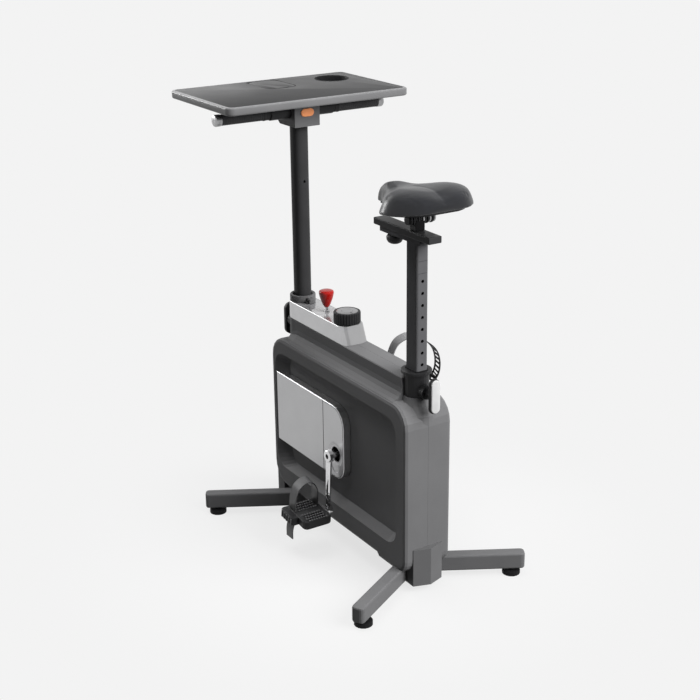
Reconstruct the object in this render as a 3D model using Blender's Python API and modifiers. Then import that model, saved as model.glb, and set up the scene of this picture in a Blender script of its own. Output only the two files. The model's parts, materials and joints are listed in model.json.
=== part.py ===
# Desk exercise bike: an upright cycle with a work desk on its mast.
# All sizes are in metres. +Y is forward, +X is the rider's right, and the feet stand on z = 0.
import math

import bmesh
import bpy
from mathutils import Matrix, Vector

# Fits
GAP = 0.0003
BORE_FIT = 0.0003
FACETS = 24

# Legs and levelling feet
LEG_WIDTH = 0.033
LEG_BOTTOM = 0.018
LEG_TOP = 0.060
LEG_SWEEP = math.radians(29.5)
LEG_OVERHANG = 0.033
LEG_CORNER = 0.010
LEG_EDGE = 0.004
LEG_WALL = 0.0025
REAR_PAD = (0.223, -0.411)
FRONT_PAD = (0.248, 0.3005)
FOOT_RADIUS = 0.023
FOOT_HEIGHT = 0.012
STUD_RADIUS = 0.004
STUD_TOP = 0.046

# Brackets that carry the legs
BRACKET_BOTTOM = 0.017
HUB_HALF = 0.043
REAR_COVER_EDGE = -0.359
REAR_COVER_CREASE = -0.373
REAR_COVER_INNER = -0.317
REAR_COVER_TOP = 0.117
REAR_HUB_FRONT = -0.284
FRONT_COVER_HALF = 0.056
FRONT_COVER_EDGE = 0.297
FRONT_COVER_CREASE = 0.304
FRONT_COVER_INNER = 0.262
FRONT_COVER_TOP = 0.100
FRONT_HUB_REAR = 0.160
BRACKET_SHEET = 0.004

# Housing
SLAB_HALF = 0.0675
SLAB_REAR = -0.357
SLAB_FRONT = 0.292
SLAB_TOP = 0.494
SLAB_BOTTOM = LEG_TOP + GAP
SKIRT_DROP = 0.009
SKIRT_FRONT = -0.228
TOP_CORNER = 0.057
REAR_CORNER = 0.035
FRONT_CORNER = 0.062
SIDE_EDGE = 0.009
WALL = 0.003
CAVITY_HALF = 0.042

# Side recess
RECESS_REAR = -0.318
RECESS_FRONT = 0.273
RECESS_BOTTOM = 0.115
RECESS_TOP = 0.453
RECESS_CORNER = 0.042
RECESS_DRAFT = 0.006
RECESS_LEDGE = 0.018
RECESS_RAMP = 0.044
RECESS_FLOOR = CAVITY_HALF + WALL

# Spine and console
SPINE_HALF = 0.036
SPINE_TOP = 0.551
SPINE_REAR = -0.2955
SPINE_EDGE = 0.002
SHOULDER_OUT = 0.026
SHOULDER_RISE = 0.031
SHOULDER_END = 0.200
BELT_TOP = 0.597
BELT_REAR_LOW = -0.043
BELT_REAR_TOP = -0.023
BELT_CORNER = 0.017
BELT_WALL = 0.003
BELT_BEVEL = 0.0012
DECK_THICKNESS = 0.0035

# Side panel and crank cover
PANEL_REAR = -0.078
PANEL_FRONT = 0.266
PANEL_BOTTOM = 0.193
PANEL_TOP = 0.393
PANEL_SEAM = 0.022
PANEL_REAR_TOP_CORNER = 0.052
PANEL_REAR_LOW_CORNER = 0.040
PANEL_WALL = 0.003
PANEL_EDGE = 0.0015
CRANK_HOLE = 0.021
DISH_RADIUS = 0.034
DISH_FOOT = 0.052
DISH_FOOT_HALF = 0.021
DISH_FOOT_DEPTH = 0.0012
DISH_DEPTH = 0.003

# Mast
MAST_Y = 0.2295
MAST_WIDTH = 0.038
MAST_DEPTH = 0.041
MAST_CORNER = 0.012
MAST_BOTTOM = 0.310
MAST_TOP = 1.085
MAST_WALL = 0.0025
MAST_HOLE_Z = 0.924
MAST_HOLE_RADIUS = 0.004
COLLAR_RADIUS = 0.0345
COLLAR_BORE = 0.0265
COLLAR_TOP = 0.616
COLLAR_LUG = 0.018
COLLAR_LUG_HALF = 0.009
MAST_LEVER_Z = 0.525
MAST_LEVER_HALF = 0.018
MAST_LEVER_REACH = 0.045
MAST_LEVER_REAR = 0.293
MAST_LEVER_FRONT = 0.309

# Stop knob and dial
KNOB_Y = 0.106
KNOB_TOP = 0.656
KNOB_RADIUS = 0.0198
KNOB_CONE_BOTTOM = 0.611
ROD_RADIUS = 0.004
NECK_RADIUS = 0.007
NECK_TOP = 0.602
STOP_TRAVEL = 0.008
SHOE_GAP = 0.0085
SHOE_HALF_WIDTH = 0.009
SHOE_THICKNESS = 0.013
SHOE_HALF_LENGTH = 0.016
DIAL_Y = 0.005
DIAL_RADIUS = 0.035
DIAL_TOP = 0.628
DIAL_BASE = 0.5985
DIAL_FLUTES = 32
FLUTE_DEPTH = 0.0013
DIAL_SHAFT_RADIUS = 0.006
DIAL_SHAFT_BOTTOM = 0.560

# Seat post, lever and slide
SEAT_Y = -0.3055
POST_WIDTH = 0.033
POST_DEPTH = 0.046
POST_CORNER = 0.006
POST_BOTTOM = 0.320
POST_TOP = 0.884
POST_WALL = 0.0025
POST_HOLE_RADIUS = 0.0042
POST_HOLE_PITCH = 0.0295
POST_HOLE_LOW = 0.5865
POST_HOLES = 8
SOCKET_RADIUS = 0.031
SOCKET_TOP = 0.570
SOCKET_BOTTOM = 0.505
FLANGE_RADIUS = 0.0375
FLANGE_THICKNESS = 0.007
SEAT_LEVER_Z = 0.523
SEAT_HUB_RADIUS = 0.017
SEAT_HUB_REAR = -0.353
SEAT_LEVER_REAR = -0.386
SEAT_LEVER_FRONT = -0.3733
SEAT_LEVER_HALF = 0.0138
SEAT_LEVER_REACH = 0.044
LEVER_EDGE = 0.003
LEVER_STEM_RADIUS = 0.009
SHANK_RADIUS = 0.004
CHANNEL_HALF = 0.016
CHANNEL_REAR = -0.338
CHANNEL_FRONT = -0.173
CHANNEL_TOP = 0.893
BEAM_HALF = 0.018
BEAM_REAR = -0.377
BEAM_FRONT = -0.148
BEAM_TOP = 0.910
BEAM_EDGE = 0.002
SLIDER_Y = -0.213
SLIDER_RADIUS = 0.0205
SLIDER_BOTTOM = 0.858
SLIDER_TOP = 0.878

# Saddle
SADDLE_PIVOT_Z = 0.937
CLAMP_HALF = 0.030
CLAMP_RADIUS = 0.010
CLAMP_STEM_HALF = 0.013
LUG_THICKNESS = 0.004
LUG_HALF = 0.012
SADDLE_NOSE = -0.139
SADDLE_NOSE_BOTTOM = 0.951
SADDLE_BOTTOM_SLOPE = 0.0696
SHELL_THICKNESS = 0.004
SHELL_INSET = 0.006

# Crank, pedals and drive
CRANK_Y = -0.037
CRANK_Z = 0.259
CRANK_LENGTH = 0.150
SPINDLE_RADIUS = 0.0085
ARM_INNER = 0.079
ARM_OUTER = 0.093
ARM_SPLAY = 0.005
ARM_BOSS_RADIUS = 0.0163
ARM_EYE_RADIUS = 0.0115
ARM_BAR_THICKNESS = 0.010
SHELL_RADIUS = 0.024
BEARING_RADIUS = 0.0165
BEARING_WIDTH = 0.010
SHELL_LEFT = -0.040
SHELL_RIGHT = 0.019
PEDAL_TILT = math.radians(7)
PEDAL_INNER = 0.108
PEDAL_OUTER = 0.190
PEDAL_HALF_LENGTH = 0.0485
PEDAL_HALF_THICKNESS = 0.011
PEDAL_CORNER = 0.012
PEDAL_AXLE_RADIUS = 0.007
PEDAL_SLOT_WIDTH = 0.0055
PEDAL_SLOT_PITCH = 0.010
PEDAL_SLOTS = 3
PEDAL_SLOT_START = 0.0175
STRAP_WIDTH = 0.031
STRAP_THICKNESS = 0.0026
STRAP_Y = 0.028
STRAP_INNER = 0.118
STRAP_OUTER = 0.183
PEDAL_BLOCK_END = 0.208
PEDAL_KEEL = 0.020
FLYWHEEL_Y = 0.095
FLYWHEEL_Z = 0.300
FLYWHEEL_RADIUS = 0.098
FLYWHEEL_RIM_INNER = 0.070
FLYWHEEL_HALF = 0.009
FLYWHEEL_WEB = 0.004
AXLE_RADIUS = 0.006
PULLEY_NEAR = 0.022
PULLEY_FAR = 0.034
DRIVE_RADIUS = 0.085
DRIVEN_RADIUS = 0.020
BELT_THICKNESS = 0.003
MAGNET_GAP = 0.0025
MAGNET_THICKNESS = 0.009
MAGNET_HALF = 0.012
MAGNET_START = math.radians(-70)
MAGNET_END = math.radians(-27)
PIVOT_REACH = 0.115
PIVOT_BOSS = 0.008
PIVOT_PIN = 0.003

# Main frame
RAIL_HALF = 0.020
RAIL_BOTTOM = SLAB_BOTTOM + WALL + 0.001 + GAP
RAIL_TOP = 0.094
RAIL_RAMP = 0.030
RECEIVER_WALL = 0.003
SEAT_RECEIVER_TOP = 0.500
SEAT_RISER = 0.015
STRUT_HALF = 0.012
EAR_THICKNESS = 0.004
EAR_HALF = 0.015
EAR_TOP = 0.315
EAR_LEFT = -0.016
EAR_RIGHT = 0.035
ARM_EAR_INNER = 0.013

# Desk
DESK_HALF = 0.261
DESK_REAR = 0.1065
DESK_FRONT = 0.4385
DESK_TOP = 1.155
DESK_THICKNESS = 0.020
DESK_CORNER = 0.018
DESK_EDGE = 0.004
MAT_MARGIN = 0.008
MAT_THICKNESS = 0.0012
CUP_X = 0.176
CUP_Y = 0.353
CUP_RADIUS = 0.0437
CUP_WALL = 0.0015
CUP_DEPTH = 0.040
CUP_RIM = 0.046
CUP_RIM_THICKNESS = 0.0012
FLAP_LEFT = -0.048
FLAP_RIGHT = 0.040
FLAP_REAR = 0.293
FLAP_HINGE_Y = 0.4227
FLAP_HINGE_Z = 1.1512
FLAP_BARREL = 0.0022
FLAP_PIN = 0.001
FLAP_PIN_REACH = 0.003
FLAP_THICKNESS = 0.0042
FLAP_CORNER = 0.028
FLAP_NOTCH = 0.0045
SLOT_REAR = 0.4262
SLOT_FRONT = 0.433
SLOT_DEPTH = 0.009
BRACKET_HALF = 0.0365
BRACKET_REAR = 0.184
BRACKET_FRONT = 0.327
BRACKET_LOW = 1.071
BRACKET_PLATE = 0.0037
BRACKET_WALL = 0.0065
FLANGE_HALF = 0.048
RUNNER_WALL = 0.0035
RUNNER_LIP = 0.008
RUNNER_REAR = 0.190
RUNNER_FRONT = 0.395
BUTTON_HALF = 0.019
BUTTON_HEIGHT = 0.020
BUTTON_Z = 1.107
BUTTON_PROUD = 0.003
BUTTON_DEPTH = 0.012
BAR_Y = 0.218
BAR_Z = 1.107
SLEEVE_RADIUS = 0.0165
SLEEVE_HALF = 0.092
RING_RADIUS = 0.0146
RING_END = 0.106
BAR_CORE = 0.011
GRIP_RADIUS = 0.014
GRIP_END = 0.2295
CAP_RADIUS = 0.015
BAR_END = 0.2465

DESK_UNDERSIDE = DESK_TOP - DESK_THICKNESS
DECK_BOTTOM = BELT_TOP - DECK_THICKNESS
MAT_FLOOR = DESK_TOP - MAT_THICKNESS - GAP
PLATE_TOP = DESK_UNDERSIDE - GAP

# How the local axes of an outline and of a turned piece lie in the model
OUTLINE_AXES = {
    "X": Matrix(((0, 0, 1, 0), (1, 0, 0, 0), (0, 1, 0, 0), (0, 0, 0, 1))),
    "Y": Matrix(((1, 0, 0, 0), (0, 0, -1, 0), (0, 1, 0, 0), (0, 0, 0, 1))),
    "Z": Matrix.Identity(4),
}
TURNING_AXES = {
    "X": Matrix(((0, 0, 1, 0), (1, 0, 0, 0), (0, 1, 0, 0), (0, 0, 0, 1))),
    "Y": Matrix(((0, 1, 0, 0), (0, 0, 1, 0), (1, 0, 0, 0), (0, 0, 0, 1))),
    "Z": Matrix.Identity(4),
}
AXIS_VECTORS = {"X": Vector((1, 0, 0)), "Y": Vector((0, 1, 0)), "Z": Vector((0, 0, 1))}

for leftover in list(bpy.data.objects):
    bpy.data.objects.remove(leftover, do_unlink=True)
BIKE = bpy.data.collections.new("desk_exercise_bike")
bpy.context.scene.collection.children.link(BIKE)


# Helpers
def new_object(name, data):
    obj = bpy.data.objects.new(name, data)
    BIKE.objects.link(obj)
    return obj


def tidy_mesh(mesh):
    # Weld caps, drop edges inside flat faces and turn every face outwards.
    shape = bmesh.new()
    shape.from_mesh(mesh)
    bmesh.ops.remove_doubles(shape, verts=shape.verts, dist=0.000002)
    bmesh.ops.dissolve_degenerate(shape, edges=shape.edges, dist=0.000002)
    bmesh.ops.dissolve_limit(
        shape, angle_limit=math.radians(0.2), verts=shape.verts, edges=shape.edges
    )
    bmesh.ops.recalc_face_normals(shape, faces=shape.faces)
    shape.to_mesh(mesh)
    shape.free()


def evaluated_mesh(obj):
    depsgraph = bpy.context.evaluated_depsgraph_get()
    return bpy.data.meshes.new_from_object(obj.evaluated_get(depsgraph))


def bake(obj):
    mesh = evaluated_mesh(obj)
    obj.modifiers.clear()
    obj.data = mesh
    tidy_mesh(mesh)
    return obj


def combine(target, others, operation):
    for other in others:
        modifier = target.modifiers.new(operation.lower(), "BOOLEAN")
        modifier.operation = operation
        modifier.solver = "EXACT"
        modifier.object = other
    bake(target)
    for other in others:
        bpy.data.objects.remove(other, do_unlink=True)
    return target


def cut(target, *cutters):
    return combine(target, cutters, "DIFFERENCE")


def join(target, *others):
    return combine(target, others, "UNION")


def bevel(obj, width, segments=2, angle=30.0):
    modifier = obj.modifiers.new("edges", "BEVEL")
    modifier.width = width
    modifier.segments = segments
    modifier.limit_method = "ANGLE"
    modifier.angle_limit = math.radians(angle)
    return bake(obj)


def arc(u, v, radius, start, end, steps):
    # Points round an arc, both ends included.
    turns = [start + (end - start) * step / steps for step in range(steps + 1)]
    return [(u + radius * math.cos(turn), v + radius * math.sin(turn)) for turn in turns]


def rounded(corners, steps=3):
    # An outline from corners (u, v, radius).
    points = []
    for index, (u, v, radius) in enumerate(corners):
        corner = Vector((u, v))
        if radius <= 0.0:
            points.append((u, v))
            continue
        before = (Vector(corners[index - 1][:2]) - corner).normalized()
        after = (Vector(corners[(index + 1) % len(corners)][:2]) - corner).normalized()
        half = before.angle(after) / 2
        centre = corner + (before + after).normalized() * (radius / math.sin(half))
        start = corner + before * (radius / math.tan(half)) - centre
        end = corner + after * (radius / math.tan(half)) - centre
        sweep = start.angle(end)
        for step in range(steps + 1):
            share = step / steps
            blend = start * math.sin((1 - share) * sweep) + end * math.sin(share * sweep)
            point = centre + blend / math.sin(sweep)
            points.append((point.x, point.y))
    return points


def rounded_box(low_u, high_u, low_v, high_v, radius, steps=3):
    return rounded(
        [
            (low_u, low_v, radius),
            (high_u, low_v, radius),
            (high_u, high_v, radius),
            (low_u, high_v, radius),
        ],
        steps,
    )


def circle(u, v, radius, steps=FACETS):
    return arc(u, v, radius, 0.0, 2 * math.pi, steps)[:-1]


def prism(name, outline, low, high, axis="Z"):
    # A flat outline given a thickness from low to high along an axis.
    curve = bpy.data.curves.new(name, "CURVE")
    curve.dimensions = "2D"
    curve.fill_mode = "BOTH"
    curve.extrude = (high - low) / 2
    curve.render_resolution_u = 0
    spline = curve.splines.new("POLY")
    spline.points.add(len(outline) - 1)
    for point, (u, v) in zip(spline.points, outline):
        point.co = (u, v, 0.0, 1.0)
    spline.use_cyclic_u = True
    flat = new_object(name + "_outline", curve)
    mesh = evaluated_mesh(flat)
    bpy.data.objects.remove(flat, do_unlink=True)
    shift = Matrix.Translation(AXIS_VECTORS[axis] * (low + high) / 2)
    mesh.transform(shift @ OUTLINE_AXES[axis])
    tidy_mesh(mesh)
    return new_object(name, mesh)


def turned(name, profile, centre=(0.0, 0.0, 0.0), axis="Z", steps=FACETS, ring=False):
    # A profile of (radius, height) points, top to bottom, turned round an axis.
    mesh = bpy.data.meshes.new(name)
    edges = [(index, index + 1) for index in range(len(profile) - 1)]
    if ring:
        edges.append((len(profile) - 1, 0))
    mesh.from_pydata([(radius, 0.0, height) for radius, height in profile], edges, [])
    obj = new_object(name, mesh)
    modifier = obj.modifiers.new("turn", "SCREW")
    modifier.steps = steps
    modifier.render_steps = steps
    modifier.use_merge_vertices = True
    modifier.merge_threshold = 0.00001
    bake(obj)
    obj.data.transform(Matrix.Translation(centre) @ TURNING_AXES[axis])
    return obj


def cylinder(name, radius, low, high, centre=(0.0, 0.0, 0.0), axis="Z", steps=FACETS):
    shape = bmesh.new()
    bmesh.ops.create_cone(
        shape,
        cap_ends=True,
        segments=steps,
        radius1=radius,
        radius2=radius,
        depth=high - low,
        matrix=Matrix.Translation((0.0, 0.0, (low + high) / 2)),
    )
    mesh = bpy.data.meshes.new(name)
    shape.to_mesh(mesh)
    shape.free()
    mesh.transform(Matrix.Translation(centre) @ TURNING_AXES[axis])
    return new_object(name, mesh)


def box(name, low, high):
    low = Vector(low)
    high = Vector(high)
    place = Matrix.Translation((low + high) / 2) @ Matrix.Diagonal((high - low).to_4d())
    place[3][3] = 1.0
    shape = bmesh.new()
    bmesh.ops.create_cube(shape, size=1.0, matrix=place)
    mesh = bpy.data.meshes.new(name)
    shape.to_mesh(mesh)
    shape.free()
    return new_object(name, mesh)


def loft(name, rings):
    # A closed solid through rings that have the same number of points.
    shape = bmesh.new()
    loops = [[shape.verts.new(point) for point in ring] for ring in rings]
    count = len(loops[0])
    for near, far in zip(loops, loops[1:]):
        for index in range(count):
            after = (index + 1) % count
            shape.faces.new((near[index], near[after], far[after], far[index]))
    shape.faces.new(loops[0])
    shape.faces.new(loops[-1])
    bmesh.ops.recalc_face_normals(shape, faces=shape.faces)
    mesh = bpy.data.meshes.new(name)
    shape.to_mesh(mesh)
    shape.free()
    return new_object(name, mesh)


def band(name, stations, width, thickness, samples=5):
    # A flat strap along a smooth path, its width lying as near to Y as the path allows.
    points = [Vector(station) for station in stations]
    padded = [points[0] * 2 - points[1]] + points + [points[-1] * 2 - points[-2]]
    path = []
    for index in range(1, len(padded) - 2):
        a, b, c, d = padded[index - 1:index + 3]
        for sample in range(samples):
            t = sample / samples
            path.append(
                (b * 2 + (c - a) * t + (a * 2 - b * 5 + c * 4 - d) * t ** 2
                 + (b * 3 - a - c * 3 + d) * t ** 3) / 2
            )
    path.append(points[-1])
    rings = []
    for index, point in enumerate(path):
        along = (path[min(index + 1, len(path) - 1)] - path[max(index - 1, 0)]).normalized()
        across = (AXIS_VECTORS["Y"] - along * along.y).normalized()
        out = along.cross(across)
        sides = ((-1, -1), (1, -1), (1, 1), (-1, 1))
        rings.append([point + across * (a * width / 2) + out * (b * thickness / 2) for a, b in sides])
    return loft(name, rings)


def mirrored(obj, name):
    # The same piece for the other side of the bike.
    mesh = obj.data.copy()
    mesh.transform(Matrix.Diagonal((-1, 1, 1, 1)))
    mesh.flip_normals()
    return new_object(name, mesh)


def material(name, colour, roughness, metallic=0.0):
    finish_of = bpy.data.materials.new(name)
    finish_of.use_nodes = True
    shader = finish_of.node_tree.nodes["Principled BSDF"]
    shader.inputs["Base Color"].default_value = (*colour, 1.0)
    shader.inputs["Roughness"].default_value = roughness
    shader.inputs["Metallic"].default_value = metallic
    finish_of.diffuse_color = (*colour, 1.0)
    return finish_of


PIVOT_PLACES = {}


def pivot(name, place, parent=None):
    # An empty on a joint's axis, which the pieces that move there hang from.
    empty = bpy.data.objects.new(name, None)
    empty.empty_display_size = 0.03
    BIKE.objects.link(empty)
    base = PIVOT_PLACES[parent.name] if parent else Vector((0.0, 0.0, 0.0))
    empty.parent = parent
    empty.location = Vector(place) - base
    PIVOT_PLACES[name] = Vector(place)
    return empty


def finish(obj, colour, parent=None, built_in_place=True):
    mesh = obj.data
    mesh.materials.clear()
    mesh.materials.append(colour)
    mesh.shade_smooth()
    mesh.set_sharp_from_angle(angle=math.radians(32))
    if parent:
        if built_in_place:
            mesh.transform(Matrix.Translation(-PIVOT_PLACES[parent.name]))
        obj.parent = parent
    return obj


BODY_PLASTIC = material("charcoal_plastic", (0.055, 0.055, 0.057), 0.45)
SILVER_PLASTIC = material("silver_plastic", (0.36, 0.36, 0.37), 0.35, 0.5)
GLOSS_DECK = material("glossy_deck", (0.62, 0.63, 0.64), 0.12)
BLACK_STEEL = material("black_steel", (0.012, 0.012, 0.013), 0.35, 0.3)
GREY_STEEL = material("grey_steel", (0.06, 0.06, 0.062), 0.40, 0.3)
CHROME = material("chrome", (0.75, 0.75, 0.76), 0.12, 1.0)
BRIGHT_STEEL = material("bright_steel", (0.5, 0.5, 0.5), 0.30, 1.0)
BLACK_RUBBER = material("black_rubber", (0.010, 0.010, 0.010), 0.80)
RED_PLASTIC = material("red_plastic", (0.47, 0.013, 0.012), 0.18)
ORANGE_PLASTIC = material("orange_plastic", (0.94, 0.35, 0.15), 0.40)
LEVER_PLASTIC = material("pale_plastic", (0.78, 0.78, 0.78), 0.30)
DESK_PLASTIC = material("desk_plastic", (0.10, 0.10, 0.105), 0.42)
MAT_PLASTIC = material("mat_plastic", (0.020, 0.020, 0.021), 0.50)
SADDLE_COVER = material("saddle_cover", (0.035, 0.036, 0.038), 0.42)
CAST_IRON = material("cast_iron", (0.09, 0.09, 0.09), 0.55, 0.8)


# Legs, feet and brackets
def leg_outline(pad, forward, grow, butt):
    # Plan of the right-hand leg, from the bracket's side to past its foot.
    along = Vector((math.cos(LEG_SWEEP), math.sin(LEG_SWEEP) * forward))
    across = Vector((-along.y, along.x))
    foot = Vector(pad)
    end = foot + along * (LEG_OVERHANG + grow)
    half = LEG_WIDTH / 2 + grow
    corners = []
    for side in (1, -1):
        edge = foot + across * half * side
        root = edge + along * ((butt - edge.x) / along.x)
        tip = end + across * half * side
        pair = [(root.x, root.y, 0.0), (tip.x, tip.y, LEG_CORNER + min(grow, 0.0))]
        corners.extend(pair if side == 1 else reversed(pair))
    return rounded(corners, 3)


def leg_solid(name, pad, forward, grow=0.0):
    outline = leg_outline(pad, forward, grow, HUB_HALF - LEG_WIDTH)
    return prism(name, outline, LEG_BOTTOM - grow, LEG_TOP + grow)


def build_leg(place, pad, forward):
    leg = leg_solid("leg_" + place + "_right", pad, forward)
    bevel(leg, LEG_EDGE, 2, 50)
    hollow_plan = leg_outline(pad, forward, -LEG_WALL, HUB_HALF - LEG_WIDTH * 2)
    hollow = prism("hollow", hollow_plan, LEG_BOTTOM + LEG_WALL, LEG_TOP - LEG_WALL)
    bore = cylinder(
        "bore", STUD_RADIUS + BORE_FIT, 0.0, STUD_TOP + GAP, (pad[0], pad[1], 0.0), steps=12
    )
    butt = box("butt", (-0.1, pad[1] - 0.4, 0.0), (HUB_HALF + GAP, pad[1] + 0.4, 0.1))
    cut(leg, hollow)
    cut(leg, bore, butt)
    finish(leg, GREY_STEEL)
    finish(mirrored(leg, "leg_" + place + "_left"), GREY_STEEL)
    for side, hand in ((1, "right"), (-1, "left")):
        centre = (pad[0] * side, pad[1], 0.0)
        profile = [
            (0.0, STUD_TOP),
            (STUD_RADIUS, STUD_TOP),
            (STUD_RADIUS, LEG_BOTTOM - GAP),
            (STUD_RADIUS * 2, LEG_BOTTOM - GAP),
            (STUD_RADIUS * 2, FOOT_HEIGHT + 0.001),
            (FOOT_RADIUS - 0.002, FOOT_HEIGHT),
            (FOOT_RADIUS, FOOT_HEIGHT - 0.002),
            (FOOT_RADIUS, 0.0),
            (0.0, 0.0),
        ]
        foot = turned("foot_" + place + "_" + hand, profile, centre, steps=16)
        finish(foot, BLACK_RUBBER, pivot("pivot_foot_" + place + "_" + hand, centre))


def bracket_solid(name, forward, grow=0.0):
    # A folded cover against the housing's end, with the block that the legs butt against.
    if forward == 1:
        half, edge, crease = FRONT_COVER_HALF, FRONT_COVER_EDGE, FRONT_COVER_CREASE
        inner, top, hub = FRONT_COVER_INNER, FRONT_COVER_TOP, FRONT_HUB_REAR
    else:
        half, edge, crease = HUB_HALF, REAR_COVER_EDGE, REAR_COVER_CREASE
        inner, top, hub = REAR_COVER_INNER, REAR_COVER_TOP, REAR_HUB_FRONT
    inner -= grow * forward
    hub -= grow * forward
    side = half + grow
    bottom = BRACKET_BOTTOM - abs(grow)
    outer = min(grow, 0.0) * forward
    plan = [
        (-side, inner),
        (side, inner),
        (side, edge + outer),
        (0.0, crease + outer),
        (-side, edge + outer),
    ]
    cover = prism(name, plan, bottom, top + grow)
    middle = (inner + edge) / 2
    block = box(
        "block",
        (-HUB_HALF - grow, min(hub, middle), bottom),
        (HUB_HALF + grow, max(hub, middle), LEG_TOP - GAP + grow),
    )
    return join(cover, block)


def build_bracket(name, forward):
    bracket = bracket_solid(name, forward)
    finish(cut(bracket, bracket_solid("hollow", forward, -BRACKET_SHEET)), GREY_STEEL)


def build_stand():
    build_leg("rear", REAR_PAD, -1)
    build_leg("front", FRONT_PAD, 1)
    build_bracket("rear_bracket", -1)
    build_bracket("front_bracket", 1)


# Housing
def slab_outline(inset=0.0):
    rear = SLAB_REAR + inset
    front = SLAB_FRONT - inset
    top = SLAB_TOP - inset
    bottom = SLAB_BOTTOM + inset
    skirt = bottom - SKIRT_DROP
    return rounded(
        [
            (front, top, TOP_CORNER - inset),
            (rear, top, TOP_CORNER - inset),
            (rear, skirt, REAR_CORNER - inset),
            (SKIRT_FRONT - SKIRT_DROP, skirt, 0.0),
            (SKIRT_FRONT, bottom, 0.0),
            (front, bottom, FRONT_CORNER - inset),
        ],
        5,
    )


def slab_top_at(y):
    # Height of the slab's top, which falls away round its front corner.
    over = y - (SLAB_FRONT - TOP_CORNER)
    if over <= 0.0:
        return SLAB_TOP
    return SLAB_TOP - TOP_CORNER + math.sqrt(TOP_CORNER ** 2 - over ** 2)


def spine_section(y):
    # One cross-section of the spine with its hollow shoulders.
    reach = max(0.0, y - MAST_Y)
    half = math.sqrt(max(SPINE_HALF ** 2 - reach ** 2, 0.0))
    tip = MAST_Y + SPINE_HALF
    taper = 1.0 - 0.88 * max(0.0, y - SHOULDER_END) / (tip - SHOULDER_END)
    out = SHOULDER_OUT * taper
    rise = SHOULDER_RISE * taper
    foot = slab_top_at(y) - 0.0005
    root = foot - 0.030
    side = [(half + out, root), (half + out, foot)]
    for step in range(1, 5):
        turn = math.pi / 2 * (1 - step / 4)
        side.append((half + out * (1 - math.cos(turn)), foot + rise * (1 - math.sin(turn))))
    side.append((half, SPINE_TOP - SPINE_EDGE))
    side.append((max(half - SPINE_EDGE, half / 2), SPINE_TOP))
    right = [Vector((x, y, z)) for x, z in side]
    left = [Vector((-x, y, z)) for x, z in reversed(side)]
    return right + left


def spine_solid(name):
    stations = [SPINE_REAR, SHOULDER_END]
    for step in range(6):
        stations.append(MAST_Y + SPINE_HALF * math.sin(math.radians(84 * step / 5)))
    return loft(name, [spine_section(y) for y in stations])


def flare_solid(name):
    # The foot of the seat socket, spreading into the slab's rear corner.
    profile = [
        (0.0, SOCKET_BOTTOM),
        (0.0330, SOCKET_BOTTOM),
        (0.0345, 0.499),
        (0.0365, 0.493),
        (0.0395, 0.486),
        (0.0435, 0.479),
        (0.0485, 0.471),
        (0.0515, 0.464),
        (0.0515, 0.440),
        (0.0, 0.440),
    ]
    return turned(name, profile, (0.0, SEAT_Y, 0.0))


def tube_outline(centre_y, width, depth, corner, grow=0.0):
    half_width = width / 2 + grow
    half_depth = depth / 2 + grow
    return rounded_box(
        -half_width, half_width, centre_y - half_depth, centre_y + half_depth, corner + grow
    )


def mast_outline(grow=0.0):
    return tube_outline(MAST_Y, MAST_WIDTH, MAST_DEPTH, MAST_CORNER, grow)


def post_outline(grow=0.0):
    return tube_outline(SEAT_Y, POST_WIDTH, POST_DEPTH, POST_CORNER, grow)


def recess_cutter(name):
    face = rounded_box(RECESS_REAR, RECESS_FRONT, RECESS_BOTTOM, RECESS_TOP, RECESS_CORNER, 5)
    floor = rounded_box(
        RECESS_REAR + RECESS_DRAFT,
        RECESS_FRONT - RECESS_RAMP,
        RECESS_BOTTOM + RECESS_LEDGE,
        RECESS_TOP - RECESS_DRAFT,
        RECESS_CORNER - RECESS_DRAFT,
        5,
    )
    rings = [
        [Vector((RECESS_FLOOR, y, z)) for y, z in floor],
        [Vector((SLAB_HALF, y, z)) for y, z in face],
        [Vector((SLAB_HALF + 0.01, y, z)) for y, z in face],
    ]
    return loft(name, rings)


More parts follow.
